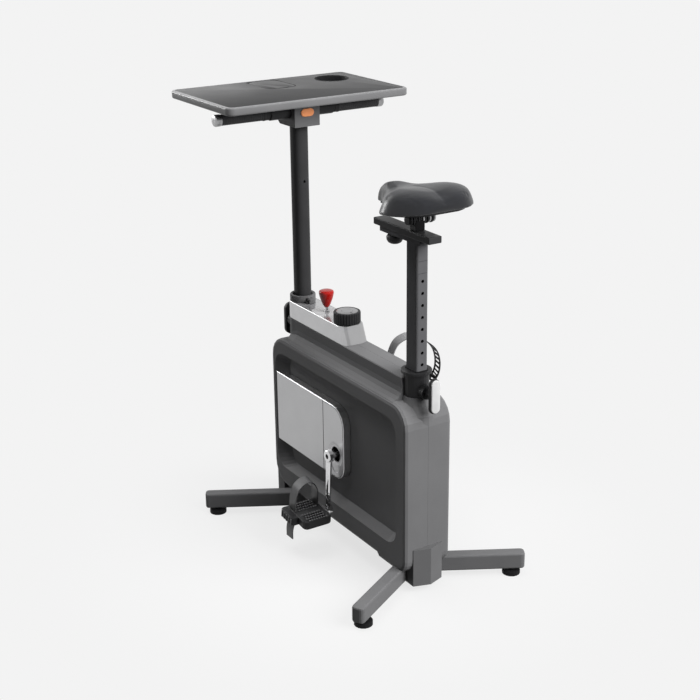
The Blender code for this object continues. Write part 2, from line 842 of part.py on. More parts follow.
def build_housing():
    housing = prism("housing_right", slab_outline(), -SLAB_HALF, SLAB_HALF, "X")
    bevel(housing, SIDE_EDGE, 2, 60)
    join(housing, spine_solid("spine"), flare_solid("flare"))
    pocket = box(
        "panel_pocket",
        (RECESS_FLOOR, 0.15, PANEL_BOTTOM - GAP),
        (SLAB_HALF + 0.01, PANEL_FRONT + GAP, PANEL_TOP + GAP),
    )
    cavity = prism("cavity", slab_outline(WALL + 0.001), -CAVITY_HALF, CAVITY_HALF, "X")
    spine_cavity = box("spine_cavity", (-0.030, -0.262, 0.46), (0.030, 0.190, SPINE_TOP - WALL))
    console_well = box("console_well", (-0.026, -0.012, 0.53), (0.026, 0.185, SPINE_TOP + 0.01))
    mast_hole = prism("mast_hole", mast_outline(BORE_FIT + RECEIVER_WALL + GAP), 0.46, 0.56)
    seat_hole = prism("seat_hole", post_outline(BORE_FIT + RECEIVER_WALL + GAP), 0.43, 0.53)
    socket_seat = cylinder(
        "socket_seat", SOCKET_RADIUS + GAP, SOCKET_BOTTOM + GAP, 0.6, (0.0, SEAT_Y, 0.0)
    )
    shank_hole = cylinder(
        "shank_hole",
        SHANK_RADIUS + BORE_FIT,
        MAST_Y,
        MAST_Y + SPINE_HALF + 0.01,
        (0.0, 0.0, MAST_LEVER_Z),
        "Y",
        12,
    )
    crank_hole = cylinder(
        "crank_hole", SPINDLE_RADIUS * 1.6, 0.03, 0.06, (0.0, CRANK_Y, CRANK_Z), "X"
    )
    left_half = box("left_half", (-0.1, -0.5, 0.0), (GAP / 2, 0.5, 0.7))
    cut(housing, left_half)
    cut(housing, recess_cutter("recess"), pocket)
    cut(housing, cavity)
    cut(housing, spine_cavity, mast_hole, seat_hole, socket_seat, shank_hole, crank_hole)
    cut(housing, console_well)
    cut(housing, bracket_solid("rear_notch", -1, GAP), bracket_solid("front_notch", 1, GAP))
    cut(housing, leg_solid("rear_leg_notch", REAR_PAD, -1, GAP))
    finish(housing, BODY_PLASTIC)
    finish(mirrored(housing, "housing_left"), BODY_PLASTIC)


# Side panel, with its dished rear section round the crank
def shell_cover(name, outline, inner_outline):
    cover = prism(name, outline, RECESS_FLOOR + GAP, SLAB_HALF, "X")
    bevel(cover, PANEL_EDGE, 1, 60)
    hollow = prism("hollow", inner_outline, RECESS_FLOOR - 0.01, SLAB_HALF - PANEL_WALL, "X")
    return cut(cover, hollow)


def build_panels():
    panel_outline = rounded_box(PANEL_SEAM + GAP / 2, PANEL_FRONT, PANEL_BOTTOM, PANEL_TOP, 0.0)
    panel_inner = rounded_box(
        PANEL_SEAM + GAP / 2 + PANEL_WALL,
        PANEL_FRONT - PANEL_WALL,
        PANEL_BOTTOM + PANEL_WALL,
        PANEL_TOP - PANEL_WALL,
        0.0,
    )
    panel = shell_cover("side_panel_right", panel_outline, panel_inner)
    finish(panel, SILVER_PLASTIC)
    finish(mirrored(panel, "side_panel_left"), SILVER_PLASTIC)

    def cover_outline(inset):
        return rounded(
            [
                (PANEL_REAR + inset, PANEL_BOTTOM + inset, PANEL_REAR_LOW_CORNER - inset),
                (PANEL_SEAM - GAP / 2 - inset, PANEL_BOTTOM + inset, 0.0),
                (PANEL_SEAM - GAP / 2 - inset, PANEL_TOP - inset, 0.0),
                (PANEL_REAR + inset, PANEL_TOP - inset, PANEL_REAR_TOP_CORNER - inset),
            ],
            5,
        )

    cover = shell_cover("crank_cover_right", cover_outline(0.0), cover_outline(PANEL_WALL))
    centre = (0.0, CRANK_Y, CRANK_Z)
    face = SLAB_HALF
    dish_profile = [
        (0.0, face + 0.005),
        (DISH_RADIUS, face + 0.005),
        (DISH_RADIUS, face - 0.0001),
        (DISH_RADIUS * 0.78, face - DISH_DEPTH * 0.55),
        (0.0, face - DISH_DEPTH * 0.8),
    ]
    boss = turned(
        "boss",
        [
            (0.0, face - PANEL_WALL + 0.0005),
            (DISH_RADIUS, face - PANEL_WALL + 0.0005),
            (CRANK_HOLE + 0.004, face - PANEL_WALL - DISH_DEPTH),
            (0.0, face - PANEL_WALL - DISH_DEPTH),
        ],
        centre,
        "X",
    )
    join(cover, boss)
    cut(cover, turned("dish", dish_profile, centre, "X"))
    foot = [(CRANK_Y + y, z) for y, z in stadium(DISH_FOOT_HALF, CRANK_Z - DISH_FOOT, CRANK_Z)]
    cut(cover, prism("dish_foot", foot, SLAB_HALF - DISH_FOOT_DEPTH, SLAB_HALF + 0.005, "X"))
    cut(cover, cylinder("crank_opening", CRANK_HOLE, 0.04, 0.08, centre, "X"))
    finish(cover, SILVER_PLASTIC)
    finish(mirrored(cover, "crank_cover_left"), SILVER_PLASTIC)


# Console on the spine: belt, deck and collar
def belt_plan(height, inset=0.0):
    share = (height - SPINE_TOP) / (BELT_TOP - SPINE_TOP)
    rear = BELT_REAR_LOW + (BELT_REAR_TOP - BELT_REAR_LOW) * share + inset
    half = SPINE_HALF - inset
    corner = BELT_CORNER - inset
    plan = arc(0.0, MAST_Y, half, 0.0, math.pi, 12)
    plan += arc(corner - half, rear + corner, corner, math.pi, math.pi * 1.5, 3)
    plan += arc(half - corner, rear + corner, corner, math.pi * 1.5, math.pi * 2, 3)
    return [Vector((x, y, height)) for x, y in plan]


def build_console():
    bottom = SPINE_TOP + GAP
    trim = loft(
        "console_trim",
        [
            belt_plan(bottom),
            belt_plan(BELT_TOP - BELT_BEVEL),
            belt_plan(BELT_TOP, BELT_BEVEL),
        ],
    )
    cut(trim, loft("hollow", [belt_plan(bottom - 0.01, BELT_WALL), belt_plan(BELT_TOP + 0.01, BELT_WALL)]))
    finish(trim, SILVER_PLASTIC)

    inset = BELT_WALL + GAP
    deck = loft("console_deck", [belt_plan(DECK_BOTTOM, inset), belt_plan(BELT_TOP, inset)])
    join(deck, cylinder("neck", NECK_RADIUS, BELT_TOP - 0.002, NECK_TOP, (0.0, KNOB_Y, 0.0), steps=16))
    cut(
        deck,
        prism("mast_opening", mast_outline(0.002), 0.58, 0.61),
        cylinder("rod_bore", ROD_RADIUS + BORE_FIT, 0.58, 0.61, (0.0, KNOB_Y, 0.0), steps=12),
        cylinder("dial_bore", DIAL_SHAFT_RADIUS + BORE_FIT, 0.58, 0.61, (0.0, DIAL_Y, 0.0), steps=12),
    )
    finish(deck, GLOSS_DECK)

    low = BELT_TOP + GAP
    collar = turned(
        "mast_collar",
        [
            (0.0, COLLAR_TOP),
            (COLLAR_RADIUS - 0.002, COLLAR_TOP),
            (COLLAR_RADIUS, COLLAR_TOP - 0.002),
            (COLLAR_RADIUS, low),
            (0.0, low),
        ],
        (0.0, MAST_Y, 0.0),
    )
    lug_end = MAST_Y - COLLAR_RADIUS - COLLAR_LUG
    lug_plan = [(COLLAR_LUG_HALF, MAST_Y - COLLAR_BORE - 0.002), (-COLLAR_LUG_HALF, MAST_Y - COLLAR_BORE - 0.002)]
    lug_plan += arc(0.0, lug_end + COLLAR_LUG_HALF, COLLAR_LUG_HALF, math.pi, math.pi * 2, 8)
    join(collar, prism("lug", lug_plan, low, COLLAR_TOP - 0.003))
    cut(collar, cylinder("bore", COLLAR_BORE, 0.58, 0.63, (0.0, MAST_Y, 0.0)))
    finish(collar, BLACK_STEEL)


# Stop knob with its brake shoe, and the resistance dial
def build_controls():
    centre = (0.0, KNOB_Y, 0.0)
    wheel_clear = FLYWHEEL_RADIUS + SHOE_GAP
    shoe_top = FLYWHEEL_Z + wheel_clear + SHOE_THICKNESS - 0.002
    stop = pivot("pivot_stop_knob", (0.0, KNOB_Y, KNOB_TOP))
    profile = [
        (0.0, KNOB_TOP),
        (KNOB_RADIUS * 0.5, KNOB_TOP - 0.0005),
        (KNOB_RADIUS * 0.83, KNOB_TOP - 0.003),
        (KNOB_RADIUS, KNOB_TOP - 0.0075),
        (KNOB_RADIUS * 0.81, KNOB_TOP - 0.023),
        (KNOB_RADIUS * 0.55, KNOB_CONE_BOTTOM + 0.008),
        (ROD_RADIUS + 0.002, KNOB_CONE_BOTTOM),
        (ROD_RADIUS, KNOB_CONE_BOTTOM),
        (ROD_RADIUS, shoe_top + GAP),
        (0.0, shoe_top + GAP),
    ]
    finish(turned("stop_knob", profile, centre, steps=20), RED_PLASTIC, stop)
    start = math.atan2(wheel_clear, KNOB_Y - FLYWHEEL_Y + SHOE_HALF_LENGTH)
    end = math.atan2(wheel_clear, KNOB_Y - FLYWHEEL_Y - SHOE_HALF_LENGTH)
    shoe = arc(FLYWHEEL_Y, FLYWHEEL_Z, wheel_clear, start, end, 6)
    shoe += [(KNOB_Y - SHOE_HALF_LENGTH, shoe_top), (KNOB_Y + SHOE_HALF_LENGTH, shoe_top)]
    finish(prism("brake_shoe", shoe, -SHOE_HALF_WIDTH, SHOE_HALF_WIDTH, "X"), BLACK_RUBBER, stop)

    flutes = []
    for index in range(DIAL_FLUTES * 2):
        turn = math.pi * index / DIAL_FLUTES
        radius = DIAL_RADIUS - FLUTE_DEPTH * (index % 2)
        flutes.append((radius * math.cos(turn), DIAL_Y + radius * math.sin(turn)))
    dial = prism("dial", flutes, DIAL_BASE, DIAL_TOP - 0.003)
    cap_radius = DIAL_RADIUS - FLUTE_DEPTH - 0.0004
    cap = [
        (0.0, DIAL_TOP),
        (cap_radius - 0.002, DIAL_TOP),
        (cap_radius, DIAL_TOP - 0.002),
        (cap_radius, DIAL_TOP - 0.005),
        (0.0, DIAL_TOP - 0.005),
    ]
    shaft = cylinder("shaft", DIAL_SHAFT_RADIUS, DIAL_SHAFT_BOTTOM, DIAL_BASE + 0.005, (0.0, DIAL_Y, 0.0), steps=12)
    join(dial, turned("cap", cap, (0.0, DIAL_Y, 0.0)), shaft)
    finish(dial, BLACK_RUBBER, pivot("pivot_dial", (0.0, DIAL_Y, DIAL_TOP)))


# Main frame inside the housing
def magnet_pivot():
    return (
        FLYWHEEL_Y + PIVOT_REACH * math.cos(MAGNET_START),
        FLYWHEEL_Z + PIVOT_REACH * math.sin(MAGNET_START),
    )


def build_frame():
    rail_rear = REAR_COVER_INNER + GAP
    rail_front = MAST_Y + MAST_DEPTH / 2 + RECEIVER_WALL
    rail_side = [
        (rail_rear, RAIL_BOTTOM),
        (rail_front - RAIL_RAMP, RAIL_BOTTOM),
        (rail_front, RAIL_BOTTOM + RAIL_RAMP / 2),
        (rail_front, RAIL_TOP),
        (rail_rear, RAIL_TOP),
    ]
    frame = prism("main_frame", rail_side, -RAIL_HALF, RAIL_HALF, "X")
    mast_top = DECK_BOTTOM - GAP
    seat_bottom = REAR_COVER_TOP + GAP
    riser = box(
        "riser",
        (-RAIL_HALF, rail_rear, RAIL_TOP - 0.01),
        (RAIL_HALF, SEAT_Y + POST_DEPTH / 2, seat_bottom + SEAT_RISER),
    )
    join(
        frame,
        riser,
        prism("mast_receiver", mast_outline(BORE_FIT + RECEIVER_WALL), RAIL_TOP - 0.01, mast_top),
        prism("seat_receiver", post_outline(BORE_FIT + RECEIVER_WALL), seat_bottom, SEAT_RECEIVER_TOP),
    )
    cut(
        frame,
        prism("mast_bore", mast_outline(BORE_FIT), RAIL_TOP, mast_top + 0.01),
        prism("seat_bore", post_outline(BORE_FIT), seat_bottom + SEAT_RISER, SEAT_RECEIVER_TOP + 0.01),
        cylinder(
            "shank_bore",
            SHANK_RADIUS + BORE_FIT,
            MAST_Y,
            MAST_Y + SPINE_HALF,
            (0.0, 0.0, MAST_LEVER_Z),
            "Y",
            12,
        ),
    )
    crank = (0.0, CRANK_Y, CRANK_Z)
    strut = box(
        "strut",
        (-STRUT_HALF, CRANK_Y - 0.018, RAIL_TOP - 0.01),
        (STRUT_HALF, CRANK_Y + 0.018, CRANK_Z - SHELL_RADIUS + 0.005),
    )
    join(frame, strut, cylinder("crank_shell", SHELL_RADIUS, SHELL_LEFT, SHELL_RIGHT, crank, "X"))
    seat = BEARING_RADIUS + BORE_FIT
    cut(
        frame,
        cylinder("spindle_bore", SPINDLE_RADIUS + 0.002, -0.05, 0.05, crank, "X"),
        cylinder("left_seat", seat, SHELL_LEFT - 0.01, SHELL_LEFT + BEARING_WIDTH + GAP, crank, "X"),
        cylinder("right_seat", seat, SHELL_RIGHT - BEARING_WIDTH - GAP, SHELL_RIGHT + 0.01, crank, "X"),
    )
    left = box(
        "left_ear",
        (EAR_LEFT - EAR_THICKNESS, FLYWHEEL_Y - EAR_HALF, RAIL_TOP - 0.006),
        (EAR_LEFT, FLYWHEEL_Y + EAR_HALF, EAR_TOP),
    )
    right = box(
        "right_ear",
        (EAR_RIGHT, FLYWHEEL_Y - EAR_HALF, RAIL_TOP - 0.006),
        (EAR_RIGHT + EAR_THICKNESS, FLYWHEEL_Y + EAR_HALF, EAR_TOP),
    )
    plate = box(
        "ear_plate",
        (0.0, FLYWHEEL_Y - EAR_HALF, RAIL_TOP - 0.006),
        (EAR_RIGHT + EAR_THICKNESS, FLYWHEEL_Y + EAR_HALF, RAIL_TOP),
    )
    join(frame, left, right, plate)
    axle_place = (0.0, FLYWHEEL_Y, FLYWHEEL_Z)
    cut(frame, cylinder("axle_bore", AXLE_RADIUS + BORE_FIT, -0.03, 0.05, axle_place, "X", 16))
    pin_y, pin_z = magnet_pivot()
    reach = ARM_EAR_INNER + EAR_THICKNESS
    ears = [
        box(
            "arm_ear",
            (min(side * ARM_EAR_INNER, side * reach), pin_y - 0.012, RAIL_TOP - 0.006),
            (max(side * ARM_EAR_INNER, side * reach), pin_y + 0.012, pin_z + 0.008),
        )
        for side in (-1, 1)
    ]
    pin = cylinder("arm_pin", PIVOT_PIN, -reach, reach, (0.0, pin_y, pin_z), "X", 10)
    join(frame, *ears)
    join(frame, pin)
    finish(frame, BLACK_STEEL)


# Crank, bearings, pedals and drive
def turned_ring(name, inner, outer, low, high, centre, axis="X", steps=FACETS):
    profile = [(outer, high), (outer, low), (inner, low), (inner, high)]
    return turned(name, profile, centre, axis, steps, ring=True)


def crank_arm(name, side, downward):
    # A forged arm with a boss at the spindle and an eye at the pedal, splayed outwards.
    tip_z = -CRANK_LENGTH * downward
    rings = []
    for step in range(4):
        share = step / 3
        z = tip_z * share
        middle = (ARM_INNER + ARM_OUTER) / 2 + ARM_SPLAY * math.sin(share * math.pi / 2)
        half_y = 0.0105 - 0.0025 * share
        half_x = ARM_BAR_THICKNESS / 2 * (1.0 - 0.15 * share)
        section = rounded_box(middle - half_x, middle + half_x, -half_y, half_y, 0.003, 1)
        rings.append([Vector((x * side, y, z)) for x, y in section])
    arm = loft(name, rings)
    inner, outer = sorted((side * ARM_INNER, side * ARM_OUTER))
    boss = cylinder("boss", ARM_BOSS_RADIUS, inner, outer, (0, 0, 0), "X", 20)
    bevel(boss, 0.0012, 1)
    inner, outer = sorted((side * (ARM_INNER + ARM_SPLAY), side * (ARM_OUTER + ARM_SPLAY)))
    eye = cylinder("eye", ARM_EYE_RADIUS, inner, outer, (0, 0, tip_z), "X", 16)
    join(arm, boss, eye)
    inner, outer = sorted((side * (ARM_INNER - 0.01), side * (ARM_OUTER - 0.0045)))
    spindle_bore = cylinder("bore", SPINDLE_RADIUS + BORE_FIT, inner, outer, (0, 0, 0), "X", 16)
    inner, outer = sorted((side * (ARM_OUTER - 0.0025), side * (ARM_OUTER + 0.01)))
    bolt_recess = cylinder("recess", 0.007, inner, outer, (0, 0, 0), "X", 12)
    inner, outer = sorted((side * (ARM_INNER + ARM_SPLAY + 0.002), side * (ARM_OUTER + 0.02)))
    axle_bore = cylinder("axle_bore", PEDAL_AXLE_RADIUS + BORE_FIT, inner, outer, (0, 0, tip_z), "X", 12)
    return cut(arm, spindle_bore, bolt_recess, axle_bore)


def pedal_body(name, side):
    # A treaded platform on a rounded keel, with a block outside the strap.
    inner, outer = sorted((side * PEDAL_INNER, side * PEDAL_OUTER))
    plan = rounded_box(inner, outer, -PEDAL_HALF_LENGTH, PEDAL_HALF_LENGTH, PEDAL_CORNER, 3)
    body = prism(name, plan, -PEDAL_HALF_THICKNESS, PEDAL_HALF_THICKNESS)
    bevel(body, 0.0015, 1, 60)
    keel_plan = [
        (-0.043, 0.0),
        (-0.040, -PEDAL_KEEL * 0.62),
        (-0.026, -PEDAL_KEEL * 0.95),
        (-0.006, -PEDAL_KEEL),
        (0.016, -PEDAL_KEEL * 0.84),
        (0.030, 0.0),
    ]
    keel_low, keel_high = sorted((side * (PEDAL_INNER + 0.004), side * (STRAP_OUTER - 0.012)))
    keel = prism("keel", keel_plan, keel_low, keel_high, "X")
    block_low, block_high = sorted((side * (PEDAL_OUTER - 0.015), side * PEDAL_BLOCK_END))
    block = prism("block", rounded_box(block_low, block_high, -0.012, 0.050, 0.009, 3), -0.014, 0.009)
    bevel(block, 0.0015, 1, 60)
    join(body, keel, block)
    slots = []
    for sign in (-1, 1):
        for index in range(PEDAL_SLOTS):
            middle = sign * (PEDAL_SLOT_START + index * PEDAL_SLOT_PITCH)
            half = PEDAL_SLOT_WIDTH / 2
            low, high = sorted((side * (STRAP_INNER + 0.006), side * (STRAP_OUTER - 0.008)))
            slots.append(box("slot", (low, middle - half, -0.03), (high, middle + half, 0.02)))
    for reach in (STRAP_INNER, STRAP_OUTER):
        half = STRAP_THICKNESS / 2 + GAP * 2
        low, high = sorted((side * (reach - half), side * (reach + half)))
        width = STRAP_WIDTH / 2 + GAP * 2
        slots.append(box("strap_slot", (low, STRAP_Y - width, -0.03), (high, STRAP_Y + width, 0.02)))
    bore_start, bore_end = sorted((side * (PEDAL_INNER - 0.01), side * (PEDAL_OUTER - 0.005)))
    bore = cylinder("bore", PEDAL_AXLE_RADIUS + BORE_FIT, bore_start, bore_end, (0, 0, 0), "X", 12)
    return cut(body, *slots, bore)


def strap_path(side, let_out):
    # The strap from its tail under the outer slot, over the foot, to its end under the inner slot.
    if let_out:
        path = [
            (STRAP_OUTER + 0.004, STRAP_Y, -0.036),
            (STRAP_OUTER, STRAP_Y, -0.017),
            (STRAP_OUTER, STRAP_Y, 0.011),
            (STRAP_OUTER + 0.002, STRAP_Y, 0.022),
            (0.202, 0.012, 0.036),
            (0.224, -0.014, 0.056),
            (0.222, -0.029, 0.082),
            (0.206, -0.037, 0.109),
            (0.180, -0.038, 0.134),
            (0.145, -0.020, 0.152),
            (0.118, 0.006, 0.127),
            (0.110, 0.020, 0.080),
            (STRAP_INNER - 0.003, STRAP_Y, 0.036),
            (STRAP_INNER, STRAP_Y, 0.011),
            (STRAP_INNER, STRAP_Y, -0.017),
        ]
    else:
        path = [
            (STRAP_OUTER + 0.008, STRAP_Y - 0.004, -0.072),
            (STRAP_OUTER + 0.007, STRAP_Y - 0.001, -0.045),
            (STRAP_OUTER, STRAP_Y, -0.016),
            (STRAP_OUTER, STRAP_Y, 0.011),
            (STRAP_OUTER + 0.001, STRAP_Y, 0.040),
            (0.178, STRAP_Y, 0.068),
            (0.165, STRAP_Y, 0.083),
            (0.148, STRAP_Y, 0.088),
            (0.131, STRAP_Y, 0.079),
            (0.120, STRAP_Y, 0.058),
            (STRAP_INNER, STRAP_Y, 0.030),
            (STRAP_INNER, STRAP_Y, 0.011),
            (STRAP_INNER, STRAP_Y, -0.017),
        ]
    return [(side * x, y, z) for x, y, z in path]


def build_crankset():
    place = (0.0, CRANK_Y, CRANK_Z)
    crank = pivot("pivot_crank", place)
    spindle_end = ARM_OUTER - 0.0045 - GAP
    spindle = cylinder("crank_spindle", SPINDLE_RADIUS, -spindle_end, spindle_end, place, "X", 16)
    finish(spindle, BRIGHT_STEEL, crank)
    hub_low = SHELL_RIGHT + GAP
    profile = [
        (0.016, 0.036),
        (0.016, 0.0295),
        (DRIVE_RADIUS - 0.010, 0.0295),
        (DRIVE_RADIUS - 0.010, PULLEY_FAR),
        (DRIVE_RADIUS, PULLEY_FAR),
        (DRIVE_RADIUS, PULLEY_NEAR),
        (DRIVE_RADIUS - 0.010, PULLEY_NEAR),
        (DRIVE_RADIUS - 0.010, 0.0265),
        (0.016, 0.0265),
        (0.016, hub_low),
        (SPINDLE_RADIUS + BORE_FIT, hub_low),
        (SPINDLE_RADIUS + BORE_FIT, 0.036),
    ]
    finish(turned("drive_pulley", profile, place, "X", ring=True), BLACK_RUBBER, crank)
    inner = SPINDLE_RADIUS + BORE_FIT
    for name, low in (
        ("crank_bearing_left", SHELL_LEFT),
        ("crank_bearing_right", SHELL_RIGHT - BEARING_WIDTH),
    ):
        ring = turned_ring(name, inner, BEARING_RADIUS, low, low + BEARING_WIDTH, place, "X", 16)
        finish(ring, BRIGHT_STEEL)
    for side, hand, downward in ((-1, "left", 1), (1, "right", -1)):
        arm = crank_arm("crank_arm_" + hand, side, downward)
        finish(arm, CHROME, crank, built_in_place=False)
        axle_place = (0.0, CRANK_Y, CRANK_Z - CRANK_LENGTH * downward)
        spans = (
            (PEDAL_AXLE_RADIUS, ARM_INNER + ARM_SPLAY + 0.002 + GAP, PEDAL_OUTER - 0.005 - GAP),
            (0.0085, ARM_OUTER + ARM_SPLAY + GAP, PEDAL_INNER - GAP),
        )
        pieces = []
        for radius, near, far in spans:
            low, high = sorted((side * near, side * far))
            pieces.append(cylinder("pedal_axle_" + hand, radius, low, high, axle_place, "X", 12))
        axle = join(*pieces)
        axle.name = "pedal_axle_" + hand
        finish(axle, BRIGHT_STEEL, crank)
        pedal = pivot("pivot_pedal_" + hand, axle_place, crank)
        pedal.rotation_euler.x = PEDAL_TILT
        finish(pedal_body("pedal_body_" + hand, side), BLACK_RUBBER, pedal, built_in_place=False)
        strap = band(
            "pedal_strap_" + hand, strap_path(side, side == 1), STRAP_WIDTH, STRAP_THICKNESS, 3
        )
        finish(strap, BLACK_RUBBER, pedal, built_in_place=False)


def belt_loop(first, second, first_radius, second_radius):
    # An open-belt outline round two pulleys.
    between = Vector(second) - Vector(first)
    heading = math.atan2(between.y, between.x)
    lean = math.acos((first_radius - second_radius) / between.length)
    steps = 20
    outer = first_radius / math.cos((math.pi - lean) / steps)
    outline = arc(first[0], first[1], outer, heading + lean, heading + 2 * math.pi - lean, steps)
    steps = 8
    outer = second_radius / math.cos(lean / steps)
    outline += arc(second[0], second[1], outer, heading - lean, heading + lean, steps)
    return outline


def build_drive():
    place = (0.0, FLYWHEEL_Y, FLYWHEEL_Z)
    spin = pivot("pivot_flywheel", place)
    bore = AXLE_RADIUS + BORE_FIT
    profile = [
        (bore, EAR_RIGHT - GAP),
        (0.012, EAR_RIGHT - GAP),
        (0.012, PULLEY_FAR),
        (DRIVEN_RADIUS, PULLEY_FAR),
        (DRIVEN_RADIUS, PULLEY_NEAR),
        (0.014, PULLEY_NEAR),
        (0.014, FLYWHEEL_WEB),
        (FLYWHEEL_RIM_INNER, FLYWHEEL_WEB),
        (FLYWHEEL_RIM_INNER, FLYWHEEL_HALF),
        (FLYWHEEL_RADIUS, FLYWHEEL_HALF),
        (FLYWHEEL_RADIUS, -FLYWHEEL_HALF),
        (FLYWHEEL_RIM_INNER, -FLYWHEEL_HALF),
        (FLYWHEEL_RIM_INNER, -FLYWHEEL_WEB),
        (0.014, -FLYWHEEL_WEB),
        (0.014, EAR_LEFT + GAP),
        (bore, EAR_LEFT + GAP),
    ]
    finish(turned("flywheel", profile, place, "X", 28, ring=True), CAST_IRON, spin)
    axle = cylinder("flywheel_axle", AXLE_RADIUS, -0.022, 0.0415, place, "X", 16)
    finish(axle, BRIGHT_STEEL)
    crank = (CRANK_Y, CRANK_Z)
    wheel = (FLYWHEEL_Y, FLYWHEEL_Z)
    outer = GAP + BELT_THICKNESS
    loop = belt_loop(crank, wheel, DRIVE_RADIUS + outer, DRIVEN_RADIUS + outer)
    inside = belt_loop(crank, wheel, DRIVE_RADIUS + GAP, DRIVEN_RADIUS + GAP)
    belt = prism("drive_belt", loop, PULLEY_NEAR + 0.001, PULLEY_FAR - 0.001, "X")
    cut(belt, prism("inside", inside, 0.0, 0.05, "X"))
    finish(belt, BLACK_RUBBER)

    near = FLYWHEEL_RADIUS + MAGNET_GAP
    plan = arc(FLYWHEEL_Y, FLYWHEEL_Z, near + MAGNET_THICKNESS, MAGNET_START, MAGNET_END, 8)
    plan += arc(FLYWHEEL_Y, FLYWHEEL_Z, near, MAGNET_END, MAGNET_START, 8)
    arm = prism("magnet_arm", plan, -MAGNET_HALF, MAGNET_HALF, "X")
    pin_y, pin_z = magnet_pivot()
    hinge = (0.0, pin_y, pin_z)
    width = ARM_EAR_INNER - GAP
    join(arm, cylinder("boss", PIVOT_BOSS, -width, width, hinge, "X", 16))
    cut(arm, cylinder("bore", PIVOT_PIN + BORE_FIT, -0.02, 0.02, hinge, "X", 10))
    finish(arm, BRIGHT_STEEL, pivot("pivot_magnet_arm", hinge))


# Mast, handlebar and desk
def stadium(half_width, low, high, steps=6):
    # An upright outline with round ends, as wide as twice half_width.
    return arc(0.0, high - half_width, half_width, 0.0, math.pi, steps) + arc(
        0.0, low + half_width, half_width, math.pi, math.pi * 2, steps
    )


def flat_stadium(half_width, middle, height, grow=0.0, steps=5):
    radius = height / 2 + grow
    reach = half_width - height / 2
    return arc(reach, middle, radius, -math.pi / 2, math.pi / 2, steps) + arc(
        -reach, middle, radius, math.pi / 2, math.pi * 1.5, steps
    )


def build_mast():
    mast = pivot("pivot_mast", (0.0, MAST_Y, MAST_BOTTOM))
    tube = prism("mast_tube", mast_outline(), MAST_BOTTOM, MAST_TOP)
    rear_face = MAST_Y - MAST_DEPTH / 2
    cut(
        tube,
        prism("inside", mast_outline(-MAST_WALL), MAST_BOTTOM - 0.01, MAST_TOP - MAST_WALL),
        cylinder(
            "hole",
            MAST_HOLE_RADIUS,
            rear_face - 0.01,
            rear_face + MAST_WALL + 0.002,
            (0.0, 0.0, MAST_HOLE_Z),
            "Y",
            12,
        ),
    )
    finish(tube, BLACK_STEEL, mast)

    side = [
        (BRACKET_REAR, BRACKET_LOW),
        (BRACKET_REAR, PLATE_TOP),
        (BRACKET_FRONT, PLATE_TOP),
        (BRACKET_FRONT, PLATE_TOP - 0.014),
        (BRACKET_FRONT - 0.065, BRACKET_LOW),
    ]
    bracket = prism("desk_bracket", side, -BRACKET_HALF, BRACKET_HALF, "X")
    plate_low = PLATE_TOP - BRACKET_PLATE
    flange = box("flange", (-FLANGE_HALF, BRACKET_REAR, plate_low), (FLANGE_HALF, BRACKET_FRONT, PLATE_TOP))
    join(bracket, flange)
    inner = BRACKET_HALF - BRACKET_WALL
    cut(
        bracket,
        prism("mast_bore", mast_outline(GAP), BRACKET_LOW - 0.01, MAST_TOP + GAP),
        cylinder("bar_bore", SLEEVE_RADIUS + GAP, -0.05, 0.05, (0.0, BAR_Y, BAR_Z), "X"),
        box("channel", (-inner, 0.258, BRACKET_LOW - 0.01), (inner, 0.34, plate_low)),
        prism(
            "button_pocket",
            flat_stadium(BUTTON_HALF, BUTTON_Z, BUTTON_HEIGHT, GAP),
            BRACKET_REAR - 0.01,
            BRACKET_REAR + BUTTON_DEPTH + BUTTON_PROUD + 0.001,
            "Y",
        ),
    )
    finish(bracket, BLACK_STEEL, mast)

    place = (0.0, BAR_Y, BAR_Z)
    half_profile = [
        (CAP_RADIUS - 0.003, BAR_END),
        (CAP_RADIUS, BAR_END - 0.003),
        (CAP_RADIUS, GRIP_END + GAP),
        (BAR_CORE, GRIP_END + GAP),
        (BAR_CORE, RING_END - GAP),
        (RING_RADIUS, RING_END - GAP),
        (RING_RADIUS, SLEEVE_HALF),
        (SLEEVE_RADIUS, SLEEVE_HALF),
    ]
    profile = [(0.0, BAR_END)] + half_profile
    profile += [(radius, -x) for radius, x in reversed(half_profile)] + [(0.0, -BAR_END)]
    finish(turned("handlebar", profile, place, "X", 20), BLACK_STEEL, mast)
    for hand, low, high in (("left", -GRIP_END, -RING_END), ("right", RING_END, GRIP_END)):
        grip = turned_ring("grip_" + hand, BAR_CORE + GAP, GRIP_RADIUS, low, high, place, "X", 20)
        finish(grip, BLACK_RUBBER, mast)

    front = BRACKET_REAR + BUTTON_DEPTH
    plan = flat_stadium(BUTTON_HALF, BUTTON_Z, BUTTON_HEIGHT)
    button = prism("desk_button", plan, BRACKET_REAR - BUTTON_PROUD, front, "Y")
    bevel(button, 0.001, 1, 60)
    place = (0.0, BRACKET_REAR - BUTTON_PROUD, BUTTON_Z)
    finish(button, ORANGE_PLASTIC, pivot("pivot_desk_button", place, mast))
    return mast


def flap_outline(grow=0.0, end=FLAP_HINGE_Y):
    corner = FLAP_CORNER + grow
    return rounded(
        [
            (FLAP_LEFT - grow, FLAP_REAR - grow, corner),
            (FLAP_RIGHT + grow, FLAP_REAR - grow, corner),
            (FLAP_RIGHT + grow, end, 0.0),
            (FLAP_LEFT - grow, end, 0.0),
        ],
        5,
    )


